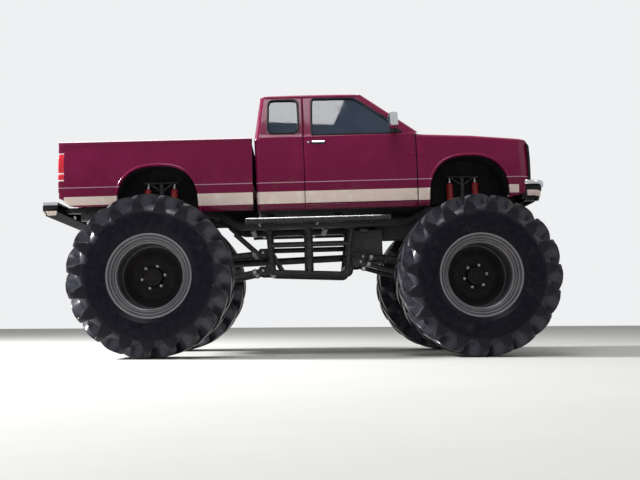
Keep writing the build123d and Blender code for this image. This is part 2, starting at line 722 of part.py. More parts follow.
# Hood, hinged at its rear top edge
with BuildPart() as hood:
    slab([(hood_rear, 690), (1590, 665), (2152, 611), (2152, 581), (1590, 635), (hood_rear, 660)],
         -1, deck_in - 10)
    slab([(1160, 686), (1590, 684), (2060, 640), (2090, 600), (1590, 650), (1160, 670)], -1, 330)
    mirror(about=Plane.XZ)
    for side in (1, -1):
        y_low = min(side * (hood_hinge_y - 29), side * (hood_hinge_y - 1))
        y_high = max(side * (hood_hinge_y - 29), side * (hood_hinge_y - 1))
        notch = (side * (hood_hinge_y - 2), side * (hood_hinge_y + 32))
        block((1100, min(notch), 600), (1124, max(notch), 720), Mode.SUBTRACT)
        block((hood_axis[0] - 4, y_low, hood_axis[1] - 6), (hood_rear + 10, y_high, hood_axis[1] + 5))
        bar((hood_axis[0], side * (hood_hinge_y - 29), hood_axis[1]),
            (hood_axis[0], side * (hood_hinge_y + 30), hood_axis[1]), hood_pin_r, leaf_pin_sides)
save(hood, "hood", on_body)

# Bed floor on its sills with the front wall, notched for the wheel houses
sill_half_width = 480
lamp_front = bed_rear_x + 66
lamp_foot = 327
lamp_head = 582
gate_axis = (bed_rear_x + 27.5, 150.5)
gate_pin_r = 8
floor_thickness = 30
house_inner = 488
house_wall = 32
floor_rear_x = bed_rear_x + 59
front_wall = 36
with BuildPart() as bed_deck:
    slab([(floor_rear_x, bed_floor), (floor_rear_x, bed_floor + floor_thickness),
          (bed_front_x, bed_floor + floor_thickness), (bed_front_x, bed_floor)], -1, bed_inner - face_gap)
    slab([(bed_front_x - front_wall, bed_floor), (bed_front_x - front_wall, belt - 20),
          (bed_front_x, belt - 20), (bed_front_x, bed_floor)], -1, bed_inner - face_gap)
    house_half = math.sqrt((arch_r + house_wall) ** 2 - (bed_floor - arch_z) ** 2) + face_gap
    block((arch_rear_x - house_half, -bed_inner, bed_floor - 1),
          (arch_rear_x + house_half, -house_inner + face_gap, bed_floor + floor_thickness + 1), Mode.SUBTRACT)
    for x in bed_block_x:
        block((x - 40, -sill_half_width, bed_floor - 60), (x + 40, 1, bed_floor + 1))
    mirror(about=Plane.XZ)
save(bed_deck, "bed_deck", on_body)

# Bed sides: double walls over the floor, single below it, with the wheel houses and lamp pockets
rear_corner = [(bed_rear_x, 190), (bed_rear_x + 57, 61), (bed_rear_x + 125, 14)]
for letter, side in (("l", 1), ("r", -1)):
    with BuildPart() as bed_side:
        slab([(bed_rear_x, bed_floor), (bed_rear_x, belt), (bed_front_x, belt), (bed_front_x, bed_floor)],
             bed_inner, 830)
        slab([(bed_rear_x, bed_floor + 1), *rear_corner, (bed_front_x, 14), (bed_front_x, bed_floor + 1)],
             fender_in, 830)
        slab([(bed_rear_x, bed_floor + 1), (bed_rear_x, 120), (bed_rear_x + 57, 120),
              (bed_rear_x + 85, bed_floor + 1)], bed_inner, fender_in + 1)
        bar((arch_rear_x, -house_inner, arch_z), (arch_rear_x, -bed_inner - 1, arch_z),
            arch_r + house_wall, arch_sides)
        block((arch_rear_x - 600, -bed_inner - 2, arch_z - 600),
              (arch_rear_x + 600, -house_inner + 1, bed_floor), Mode.SUBTRACT)
        bar((arch_rear_x, -house_inner - house_wall, arch_z), (arch_rear_x, -900, arch_z),
            arch_r, arch_sides, Mode.SUBTRACT)
        slab([(bed_rear_x - 5, lamp_foot), (bed_rear_x - 5, lamp_head), (lamp_front, lamp_head),
              (lamp_front, lamp_foot)], 705, 900, Mode.SUBTRACT)
        pin_hole((gate_axis[0], -bed_inner + 10, gate_axis[1]), (gate_axis[0], -bed_inner - 32, gate_axis[1]),
                 gate_pin_r, leaf_pin_sides)
        add(envelope(), mode=Mode.INTERSECT)
        if side > 0:
            mirror(about=Plane.XZ, mode=Mode.REPLACE)
    save(bed_side, f"bed_side_{letter}", on_body)

with BuildPart() as tail_lamps:
    slab([(bed_rear_x, lamp_foot + face_gap), (bed_rear_x, lamp_head - face_gap),
          (lamp_front - face_gap, lamp_head - face_gap), (lamp_front - face_gap, lamp_foot + face_gap)],
         705 + face_gap, 900)
    mirror(about=Plane.XZ)
    add(envelope(), mode=Mode.INTERSECT)
save(tail_lamps, "tail_lamps", on_body)

gate_half = 22.5
gate_top = belt - 8
with BuildPart() as tailgate:
    slab([(gate_axis[0] - gate_half, gate_axis[1] - gate_half), (gate_axis[0] - gate_half, gate_top),
          (gate_axis[0] + gate_half, gate_top), (gate_axis[0] + gate_half, gate_axis[1] - gate_half)],
         -1, bed_inner - 8)
    slab([(gate_axis[0] - 40, 250), (gate_axis[0] - 40, 600), (gate_axis[0] - 12, 600),
          (gate_axis[0] - 12, 250)], -1, 560, Mode.SUBTRACT)
    bar((gate_axis[0], -bed_inner + 20, gate_axis[1]), (gate_axis[0], -bed_inner - 30, gate_axis[1]),
        gate_pin_r, leaf_pin_sides)
    mirror(about=Plane.XZ)
save(tailgate, "tailgate", on_body)

# Bumpers
step_x = bed_rear_x - 3
tow_hole_r = 13.1
with BuildPart() as bumper_rear:
    slab([(step_x, step_high), (step_x - 147, step_high), (step_x - 154, 45), (step_x - 112, -50),
          (step_x, -50)], -1, 790)
    slab([(step_x + 28, step_high - step_wall), (step_x - 137, step_high - step_wall), (step_x - 143, 46),
          (step_x - 105, -40), (step_x + 28, -40)], -1, 790 - step_wall, Mode.SUBTRACT)
    mirror(about=Plane.XZ)
    with Locations((step_x - 72, 0, step_high)):
        Hole(tow_hole_r, depth=40)
save(bumper_rear, "bumper_rear", on_body)

with BuildPart() as bumper_front:
    with BuildSketch(Plane.XY.offset(bumper_low)) as bumper_plan:
        with BuildLine():
            Polyline((2095, -806), (2228, -798), (2296, -735), (2345, -650), (2372, -540), (2386, -420),
                     (2401, -210), (2406, 0), (2401, 210), (2386, 420), (2372, 540), (2345, 650),
                     (2296, 735), (2228, 798), (2095, 806), close=True)
        make_face()
    extrude(amount=bumper_high - bumper_low)
    with BuildSketch(Plane.XY.offset(bumper_low - 1)):
        add(bumper_plan.face())
        offset(amount=-16, kind=Kind.INTERSECTION, mode=Mode.REPLACE)
        with Locations((2095, 0)):
            Rectangle(60, 2 * 789)
    extrude(amount=bumper_high - bumper_low + 2, mode=Mode.SUBTRACT)
save(bumper_front, "bumper_front", on_body)

# Side steps on brackets from the rails
step_y = 842
step_r = 32
step_tube_z = -157
with BuildPart() as side_steps:
    bar((-690, -step_y, step_tube_z), (740, -step_y, step_tube_z), step_r)
    for x in (-560, 20, 600):
        block((x - 30, -step_y, step_tube_z - 6), (x + 30, -rail_outer - face_gap, step_tube_z + 6))
    mirror(about=Plane.XZ)
save(side_steps, "side_steps", on_body)

print("stand height", stand_height)
for name, x, y, z in (("hood", hood_axis[0], 0, hood_axis[1]), ("gate", gate_axis[0], 0, gate_axis[1]),
                      ("door", hinge_x, hinge_y, 300), ("tow", step_x - 72, 0, step_high - step_wall / 2)):
    print(name, spot(x, y, z))
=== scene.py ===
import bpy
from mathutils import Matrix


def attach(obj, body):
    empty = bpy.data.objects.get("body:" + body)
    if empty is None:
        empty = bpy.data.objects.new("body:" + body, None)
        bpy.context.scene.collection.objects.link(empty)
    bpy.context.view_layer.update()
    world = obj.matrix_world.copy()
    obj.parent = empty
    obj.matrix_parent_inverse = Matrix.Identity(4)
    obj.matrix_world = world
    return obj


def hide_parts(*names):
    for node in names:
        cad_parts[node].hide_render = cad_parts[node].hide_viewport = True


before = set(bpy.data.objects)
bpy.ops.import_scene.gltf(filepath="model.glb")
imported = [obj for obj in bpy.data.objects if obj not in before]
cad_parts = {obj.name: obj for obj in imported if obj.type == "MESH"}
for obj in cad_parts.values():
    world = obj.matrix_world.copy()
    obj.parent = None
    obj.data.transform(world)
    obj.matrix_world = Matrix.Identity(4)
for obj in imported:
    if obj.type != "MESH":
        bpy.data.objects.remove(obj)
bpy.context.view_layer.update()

import math
import bmesh
import bpy
import numpy as np
from mathutils import Matrix, Vector

print("frame loaded")

# Places shared by many pieces, in millimetres of the body's own level frame unless noted
stance = {
    "shift": 138.6,          # body frame's origin ahead of the middle of the truck
    "height": 1500.0,        # and above the ground
    "noseUp": 1.5,           # degrees
    "axleHeight": 771.257,   # world
    "frontAxle": 1699.6,     # world
    "rearAxle": -1422.4,     # world
    "halfTrack": 960.0,
}
tiltCos = math.cos(math.radians(stance["noseUp"]))
tiltSin = math.sin(math.radians(stance["noseUp"]))


def fromBody(p):
    # body frame in mm to world in m: turn by the nose-up angle, then shift
    p = np.asarray(p, float)
    x, y, z = p[..., 0], p[..., 1], p[..., 2]
    return np.stack([x * tiltCos - z * tiltSin + stance["shift"], y,
                     x * tiltSin + z * tiltCos + stance["height"]], -1) / 1000


def fromWorld(p):
    # world millimetres to metres
    return np.asarray(p, float) / 1000


# turn and shift that bring world metres back to the body's level frame
turnBack = Matrix.Rotation(math.radians(stance["noseUp"]), 3, "Y")
levelShift = tuple(-(turnBack @ Vector((stance["shift"] / 1000, 0, stance["height"] / 1000))))


# Shader maths: a socket with operators, and one method for every other node
class Wire:
    def __init__(self, tree, socket):
        self.tree = tree
        self.socket = socket

    def join(self, operation, other, swapped=False):
        # a maths node of this socket and another value, in either order
        node = self.tree.nodes.new("ShaderNodeMath")
        node.operation = operation
        pair = (other, self) if swapped else (self, other)
        for place, value in enumerate(pair):
            if isinstance(value, Wire):
                self.tree.links.new(value.socket, node.inputs[place])
            else:
                node.inputs[place].default_value = value
        return Wire(self.tree, node.outputs[0])

    # operators, each with its reflected form
    def __add__(self, other):
        return self.join("ADD", other)

    def __radd__(self, other):
        return self.join("ADD", other, True)

    def __sub__(self, other):
        return self.join("SUBTRACT", other)

    def __rsub__(self, other):
        return self.join("SUBTRACT", other, True)

    def __mul__(self, other):
        return self.join("MULTIPLY", other)

    def __rmul__(self, other):
        return self.join("MULTIPLY", other, True)


class Finish:
    # one material; what it builds ends in the Principled shader
    def __init__(self, name, **constants):
        self.material = bpy.data.materials.new(name)
        self.material.use_nodes = True
        self.tree = self.material.node_tree
        self.shader = self.tree.nodes["Principled BSDF"]
        for socket, value in constants.items():
            self.shader.inputs[socket.replace("_", " ")].default_value = value
        self.place = self.node("ShaderNodeTexCoord", {}, {})["Object"]

    def node(self, kind, settings, inputs):
        # any node; its outputs come back as wires, by their places and by their names
        made = self.tree.nodes.new(kind)
        for name, value in settings.items():
            setattr(made, name, value)
        for name, value in inputs.items():
            if isinstance(value, Wire):
                self.tree.links.new(value.socket, made.inputs[name])
            else:
                made.inputs[name].default_value = value
        wires = [Wire(self.tree, output) for output in made.outputs]
        return {**dict(enumerate(wires)), **{output.name: wire for output, wire in zip(made.outputs, wires)}}

    def noise(self, scale, detail=4.0, roughness=0.55, distortion=0.0):
        # cloudy value from 0 to 1 in Object coordinates; its scale is per metre
        return self.node("ShaderNodeTexNoise", {}, {"Vector": self.place, "Scale": scale, "Detail": detail,
                                                    "Roughness": roughness, "Distortion": distortion})["Fac"]

    def ramp(self, value, low, high, out=(0.0, 1.0)):
        # smooth step from the first to the second of out, as the value goes from low to high
        return self.node("ShaderNodeMapRange", {"interpolation_type": "SMOOTHSTEP"},
                         {"Value": value, "From Min": low, "From Max": high,
                          "To Min": out[0], "To Max": out[1]})["Result"]

    def above(self, value, place, soft=0.003):
        # 0 before the place and 1 past it, with a soft step; a negative one rises backwards
        return self.ramp(value, place, place + soft)

    def below(self, value, place, soft=0.003):
        # 1 before the place and 0 past it
        return self.ramp(value, place, place + soft, (1.0, 0.0))

    def blend(self, mask, first, second):
        # two colours mixed by the mask
        first, second = (value if isinstance(value, Wire) else (*value, 1) for value in (first, second))
        return self.node("ShaderNodeMix", {"data_type": "RGBA"}, {0: mask, 6: first, 7: second})[2]

    def axes(self, place=None):
        # a place split into its three numbers
        split = self.node("ShaderNodeSeparateXYZ", {}, {"Vector": place or self.place})
        return split["X"], split["Y"], split["Z"]

    def levelled(self):
        # Object coordinates turned back into the body's level frame, in metres
        return self.node("ShaderNodeMapping", {"vector_type": "POINT"},
                         {"Vector": self.place, "Location": levelShift,
                          "Rotation": (0, math.radians(stance["noseUp"]), 0)})["Vector"]

    def feed(self, socket, value):
        # joins a wire to one of the shader's sockets
        self.tree.links.new(value.socket, self.shader.inputs[socket])

    def done(self, colour, roughness, height, strength, distance=0.002):
        # feeds the colour, the roughness and the bump that a height makes, and gives the material
        self.feed("Base Color", colour)
        self.feed("Roughness", roughness)
        self.feed("Normal", self.node("ShaderNodeBump", {}, {"Height": height, "Strength": strength,
                                                            "Distance": distance})["Normal"])
        return self.material

    def edges(self, width):
        # bright where the surface turns sharply outwards
        wear = self.node("ShaderNodeNewGeometry", {}, {})["Pointiness"]
        return self.ramp(wear, 0.5 + width, 0.5 + 4 * width)


palette = {
    "crimson": (0.128, 0.0025, 0.034),
    "crimsonFaded": (0.175, 0.007, 0.05),
    "crimsonTopHighlight": (0.38, 0.075, 0.12),
    "crimsonSillShade": (0.06, 0.008, 0.02),
    "crease": (0.62, 0.42, 0.48),
    "railHighlight": (0.8, 0.7, 0.74),
    "tan": (0.62, 0.51, 0.46),
    "tanWorn": (0.72, 0.65, 0.58),
    "tanChipped": (0.75, 0.74, 0.72),
    "black": (0.009, 0.009, 0.012),
    "blackChipped": (0.12, 0.11, 0.11),
    "axleBlack": (0.02, 0.02, 0.022),
    "castIron": (0.05, 0.05, 0.052),
    "glossBlack": (0.01, 0.011, 0.016),
    "dust": (0.13, 0.11, 0.095),
    "rubber": (0.004, 0.004, 0.008),
    "rubberScuffed": (0.01, 0.01, 0.016),
    "rubberDusty": (0.045, 0.045, 0.06),
    "rubberEdge": (0.09, 0.09, 0.1),
    "mud": (0.07, 0.06, 0.052),
    "rimSilver": (0.045, 0.045, 0.055),
    "rimWorn": (0.09, 0.08, 0.08),
    "rimRust": (0.05, 0.035, 0.03),
    "rimEdgeHighlight": (0.3, 0.29, 0.31),
    "discDark": (0.007, 0.006, 0.007),
    "discWorn": (0.014, 0.010, 0.009),
    "discRust": (0.03, 0.025, 0.022),
    "chrome": (0.86, 0.87, 0.9),
    "steel": (0.45, 0.45, 0.46),
    "metalGrime": (0.2, 0.17, 0.14),
    "shockRed": (0.38, 0.004, 0.014),
    "glassTint": (0.018, 0.03, 0.055),
    "lampRed": (0.46, 0.001, 0.016),
    "lampWhite": (0.75, 0.72, 0.72),
    "lampClear": (0.6, 0.62, 0.64),
    "trim": (0.014, 0.014, 0.016),
    "cloth": (0.07, 0.05, 0.052),
}

# Painted bands on the body's sides, in metres of its level frame
bands = {
    "sideOut": 0.74,        # only the side faces carry them
    "stripeFoot": 0.0125, "stripeTop": 0.1305, "stripeRear": -2.47, "stripeFront": 1.948,
    "patchFoot": 0.061, "patchTop": 0.1425, "patchFront": 2.048,
    "lift": 0.035,          # of the stripe's foot behind the rear wheel
    "liftFrom": -1.9,
    "lineFoot": 0.2165, "lineTop": 0.2245,
    "railFoot": 0.677, "railOut": 0.766, "railFront": -0.606,
    "sill": 0.012,
}


def bodyPaint():
    # two reds by large noise and a painted highlight on faces that look up, then the stripe, the crease line,
    # a painted highlight along the bed rail, painted shade along the sill, and dust
    made = Finish("bodyPaint", Coat_Weight=0.25, Coat_Roughness=0.07, Specular_IOR_Level=0.1)
    along, across, up = made.axes(made.levelled())
    outward = across.join("ABSOLUTE", 0)
    side = made.above(outward, bands["sideOut"], 0.02)
    fine = made.noise(38, 5)
    fading = made.ramp(made.noise(2.2, 3), 0.45, 0.75, (0, 0.55))
    colour = made.blend(fading, palette["crimson"], palette["crimsonFaded"])
    # faces that look up are paler: a painted highlight from the light above
    skyward = made.axes(made.node("ShaderNodeTexCoord", {}, {})["Normal"])[2]
    colour = made.blend(made.ramp(skyward, 0.3, 0.9, (0, 0.5)), colour, palette["crimsonTopHighlight"])
    # wide stripe along the side, and a narrower patch ahead of it on the nose
    lift = made.above(along, bands["liftFrom"], -0.02) * bands["lift"]
    band = made.above(up - lift, bands["stripeFoot"]) * made.below(up, bands["stripeTop"])
    patch = made.above(up, bands["patchFoot"]) * made.below(up, bands["patchTop"])
    patch = patch * made.below(along, bands["patchFront"])
    ahead = made.above(along, bands["stripeFront"])
    stripe = (band * (1 - ahead) * made.above(along, bands["stripeRear"], 0.004) + patch * ahead) * side
    tan = made.blend(made.ramp(made.noise(9, 6), 0.5, 0.72, (0, 0.8)), palette["tan"], palette["tanWorn"])
    chips = made.ramp(made.noise(26, 8, 0.7), 0.66, 0.7) * stripe * made.ramp(along, 0.9, 1.15, (0.25, 1))
    tan = made.blend(chips, tan, palette["tanChipped"])
    painted = made.blend(stripe, colour, tan)
    line = made.above(up, bands["lineFoot"], 0.002) * made.below(up, bands["lineTop"], 0.002) * side
    painted = made.blend(line * 0.55, painted, palette["crease"])
    # pale strip along the top of the bed rail: a painted highlight standing in for the glint on its rolled
    # edge
    railGlint = made.above(up, bands["railFoot"], 0.005) * made.above(outward, bands["railOut"], 0.006)
    railGlint = railGlint * made.above(along, bands["railFront"], -0.003)
    painted = made.blend(railGlint * made.ramp(fine, 0.3, 0.5, (0.5, 0.8)), painted, palette["railHighlight"])
    # darker towards the foot of the body: painted shade along the sill
    painted = made.blend(made.above(up, bands["sill"], -0.032) * 0.45, painted, palette["crimsonSillShade"])
    dust = made.ramp(made.noise(5, 6, 0.65), 0.5, 0.8, (0, 0.22)) * made.ramp(up, 0.5, -0.05, (0.1, 1))
    painted = made.blend(dust, painted, palette["dust"])
    dull = made.ramp(fine, 0.3, 0.75, (0.2, 0.38)) + dust * 0.8 + stripe * 0.15
    return made.done(painted, dull, made.noise(5, 1), 0.05, 0.01)


def darkPaint(name, colour, dusty, shine=0.42):
    # one colour with clouds of dust, and chips along the edges where fine noise allows
    made = Finish(name, Coat_Weight=0.1, Coat_Roughness=0.3, Specular_IOR_Level=0.35)
    cloud = made.noise(6, 6, 0.6)
    speck = made.noise(60, 6, 0.7)
    dirt = made.ramp(cloud, 0.5, 0.78, (0, dusty))
    base = made.blend(dirt, colour, palette["dust"])
    base = made.blend(made.edges(0.02) * made.ramp(speck, 0.45, 0.6, (0, 0.5)), base, palette["blackChipped"])
    dull = made.ramp(cloud, 0.3, 0.7, (shine - 0.1, shine + 0.14)) + dirt * 0.6
    return made.done(base, dull, made.noise(30, 2), 0.08)


# Where a tyre takes dust and shine: metres from the axle's line, and out from the wheel's middle plane
tread = {"dustFrom": 0.6, "dustTo": 0.769, "dustOut": 0.286, "shineFrom": 0.59}


def rubberFinish():
    # scuffed rubber with mud in patches, dust in the hollows between the lugs and a shine on the lugs
    made = Finish("lugRubber", Specular_IOR_Level=0.08, Coat_Roughness=0.24)
    cloud = made.noise(4.5, 6, 0.6)
    grain = made.noise(170, 4, 0.7)
    scuff = made.noise(22, 7, 0.65, distortion=0.6)
    mud = made.ramp(cloud, 0.52, 0.8, (0, 0.4)) * made.ramp(scuff, 0.4, 0.65)
    base = made.blend(made.ramp(scuff, 0.35, 0.8), palette["rubber"], palette["rubberScuffed"])
    base = made.blend(mud * 0.6, base, palette["mud"])
    # both axles at once: the distance along from the middle of the wheelbase, less half of it
    x, y, z = made.axes()
    halfBase = (stance["frontAxle"] - stance["rearAxle"]) / 2000
    dx = (x - stance["shift"] / 1000).join("ABSOLUTE", 0) - halfBase
    dz = z - stance["axleHeight"] / 1000
    radius = (dx * dx + dz * dz).join("POWER", 0.5)
    out = y.join("ABSOLUTE", 0) - stance["halfTrack"] / 1000
    between = made.above(out, tread["dustOut"], -0.024) * made.above(radius, tread["dustFrom"], 0.045)
    between = between * made.above(radius, tread["dustTo"], -0.024)
    base = made.blend(between * made.ramp(scuff, 0.3, 0.6, (0.4, 0.9)), base, palette["rubberDusty"])
    base = made.blend(made.edges(0.015) * 0.35, base, palette["rubberEdge"])
    shine = made.above(radius, tread["shineFrom"], 0.03) * made.ramp(scuff, 0.3, 0.7, (0.5, 0.2))
    made.feed("Coat Weight", shine)
    dull = made.ramp(scuff, 0.3, 0.7, (0.3, 0.44)) + mud * 0.3
    return made.done(base, dull, grain * 0.25 + scuff, 0.14, 0.003)


def rimFinish():
    # dull silver, worn in clouds, with rust specks and a painted highlight along the sharp edges
    made = Finish("rimPaint", Metallic=0.3, Specular_IOR_Level=0.3)
    cloud = made.noise(7, 6, 0.62)
    speck = made.noise(70, 7, 0.7)
    base = made.blend(made.ramp(cloud, 0.4, 0.75), palette["rimSilver"], palette["rimWorn"])
    base = made.blend(made.ramp(speck, 0.62, 0.72, (0, 0.5)), base, palette["rimRust"])
    # pale where the edges turn sharply: painted highlight lines on the rings
    base = made.blend(made.edges(0.004) * 0.5, base, palette["rimEdgeHighlight"])
    return made.done(base, made.ramp(speck, 0.3, 0.7, (0.3, 0.5)), speck, 0.15)


def discFinish():
    # dark wheel centre, worn in clouds, with rust specks
    made = Finish("wheelDisc", Specular_IOR_Level=0.2)
    cloud = made.noise(9, 7, 0.65)
    speck = made.noise(90, 6, 0.7)
    base = made.blend(made.ramp(cloud, 0.42, 0.7), palette["discDark"], palette["discWorn"])
    base = made.blend(made.ramp(speck, 0.6, 0.72, (0, 0.4)), base, palette["discRust"])
    return made.done(base, made.ramp(speck, 0.3, 0.7, (0.5, 0.75)), speck + cloud, 0.15)


def metalFinish(name, colour, rough, grime):
    # bare metal that is duller where grime clouds it
    made = Finish(name, Metallic=1.0)
    fine = made.noise(55, 6, 0.7)
    dirt = made.ramp(made.noise(8, 5, 0.6), 0.5, 0.8, (0, grime))
    dull = made.ramp(fine, 0.3, 0.75, (rough * 0.7, rough * 1.6)) + dirt * 0.7
    return made.done(made.blend(dirt, colour, palette["metalGrime"]), dull, fine, 0.05)


def glassFinish(name, colour, alpha):
    # dark tinted sheet with a thin uneven film
    made = Finish(name, Base_Color=(*colour, 1), IOR=1.5, Specular_IOR_Level=0.6)
    film = made.noise(11, 5, 0.6)
    made.feed("Roughness", made.ramp(film, 0.4, 0.8, (0.02, 0.08)))
    made.feed("Alpha", made.ramp(film, 0.4, 0.8, (alpha, min(alpha + 0.1, 1))))
    return made.material


def lampFinish(name, colour, spread=0.5):
    # moulded lens: fine level ribs, as a sine of the height
    made = Finish(name, Coat_Weight=0.8, Coat_Roughness=0.05)
    ribs = (made.axes(made.levelled())[2] * 620).join("SINE", 0)
    pale = tuple(min(1.0, c * (1 + spread)) for c in colour)
    base = made.blend(made.ramp(ribs, -1, 1), colour, pale)
    return made.done(base, made.ramp(made.noise(50), 0.3, 0.7, (0.08, 0.2)), ribs, 0.25, 0.001)


def softTrim(name, colour, grainScale=420, rough=0.7):
    # grained plastic or cloth, paler in soft clouds
    made = Finish(name, Specular_IOR_Level=0.1)
    grain = made.noise(grainScale, 3, 0.6)
    pale = tuple(c * 1.7 + 0.01 for c in colour)
    base = made.blend(made.ramp(made.noise(12, 5), 0.4, 0.75, (0, 0.5)), colour, pale)
    return made.done(base, made.ramp(grain, 0.3, 0.7, (rough - 0.1, min(1, rough + 0.1))), grain, 0.3, 0.001)


finishes = {
    "body": bodyPaint(),
    "chassis": darkPaint("chassisBlack", palette["black"], 0.4),
    "axle": darkPaint("axlePaint", palette["axleBlack"], 0.5),
    "cast": darkPaint("castIron", palette["castIron"], 0.5, 0.6),
    "rubber": rubberFinish(),
    "rim": rimFinish(),
    "disc": discFinish(),
    "chrome": metalFinish("brightChrome", palette["chrome"], 0.1, 0.15),
    "steel": metalFinish("brightSteel", palette["steel"], 0.25, 0.35),
    "shock": darkPaint("shockRed", palette["shockRed"], 0.12, 0.3),
    "tan": darkPaint("tanPaint", palette["tan"], 0.3, 0.45),
    "gloss": darkPaint("glossBlack", palette["glossBlack"], 0.12, 0.2),
    "glass": glassFinish("tintedGlass", palette["glassTint"], 0.72),
    "lampRed": lampFinish("tailLampRed", palette["lampRed"]),
    "lampWhite": lampFinish("tailLampWhite", palette["lampWhite"], 0.1),
    "lampClear": lampFinish("headLampClear", palette["lampClear"], 0.3),
    "trim": softTrim("blackTrim", palette["trim"]),
    "cloth": softTrim("seatCloth", palette["cloth"], 700, 0.9),
}
nodeFinish = {
    "body": ["cab_shell", "door_l", "door_r", "front_fenders", "hood", "bed_deck", "bed_side_l", "bed_side_r",
             "tailgate"],
    "chassis": ["frame", "truss", "links", "driveshafts", "tie_rod"],
    "axle": ["axle_front", "axle_rear", "knuckle_l", "knuckle_r", "steer_ram"],
    "cast": ["engine", "gearbox"],
    "steel": ["ram_rod", "shock_rods", "side_steps"],
    "shock": ["shock_bodies"],
    "chrome": ["bumper_front", "bumper_rear", "mirror_l", "mirror_r"],
    "rim": ["wheel_fl", "wheel_fr", "wheel_rl", "wheel_rr"],
    "rubber": ["tyre_fl", "tyre_fr", "tyre_rl", "tyre_rr"],
    "glass": ["cab_glass", "door_glass_l", "door_glass_r"],
    "trim": ["grille", "dashboard", "steering_wheel"],
    "cloth": ["seats"],
    "lampClear": ["headlamps"],
    "lampRed": ["tail_lamps"],
}
for finishName, nodeNames in nodeFinish.items():
    for nodeName in nodeNames:
        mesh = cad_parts[nodeName].data
        mesh.materials.clear()
        mesh.materials.append(finishes[finishName])
print("finishes made")


def points(x, y, z):
    # coordinates that are numbers or grids, spread over each other into one grid of points
    return np.stack(np.broadcast_arrays(x, y, z), -1).astype(float)


def curve(a, corner, b, share):
    # quadratic curve: its ends weighted by the squared shares, its corner by twice their product
    return (1 - share) ** 2 * a + 2 * share * (1 - share) * corner + share ** 2 * b


def heading(start, end):
    # unit vector from start to end
    return (end - start) / np.linalg.norm(end - start)


def toward(start, end, distance):
    # the point at a distance from start on the straight line to end
    return start + heading(start, end) * distance


def bothWays(half):
    # half a section or plan, then the same with its second number turned over, in reverse order
    return half + [(a, -b) for a, b in half[::-1]]


def capped(p, axis=0):
    # one more row at either end along the axis, drawn in to the middle of the row beside it
    rows = np.moveaxis(p, axis, 0)
    first, last = (np.broadcast_to(row.mean(0), row.shape)[None] for row in (rows[0], rows[-1]))
    return np.moveaxis(np.concatenate([first, rows, last]), 0, axis)


def drawnIn(outline, middle, shares):
    # copies of an outline, each scaled about the middle by one of the shares, as two coordinates
    middle = np.asarray(middle, float)
    flat = middle + np.asarray(shares, float)[:, None] * (outline - middle)[:, None]
    return flat[..., 0], flat[..., 1]


def circle(axis, seed, sides):
    # unit vectors round an axis, or round each of a row of axes; the seed sets where they start
    side = np.cross(axis, seed)
    side /= np.linalg.norm(side, axis=-1, keepdims=True)
    other = np.cross(axis, side)
    turn = np.linspace(0, 2 * np.pi, sides, endpoint=False)[:, None]
    return np.cos(turn) * side[..., None, :] + np.sin(turn) * other[..., None, :]


tubeSeed = (0.31, 0.95, 0.11)


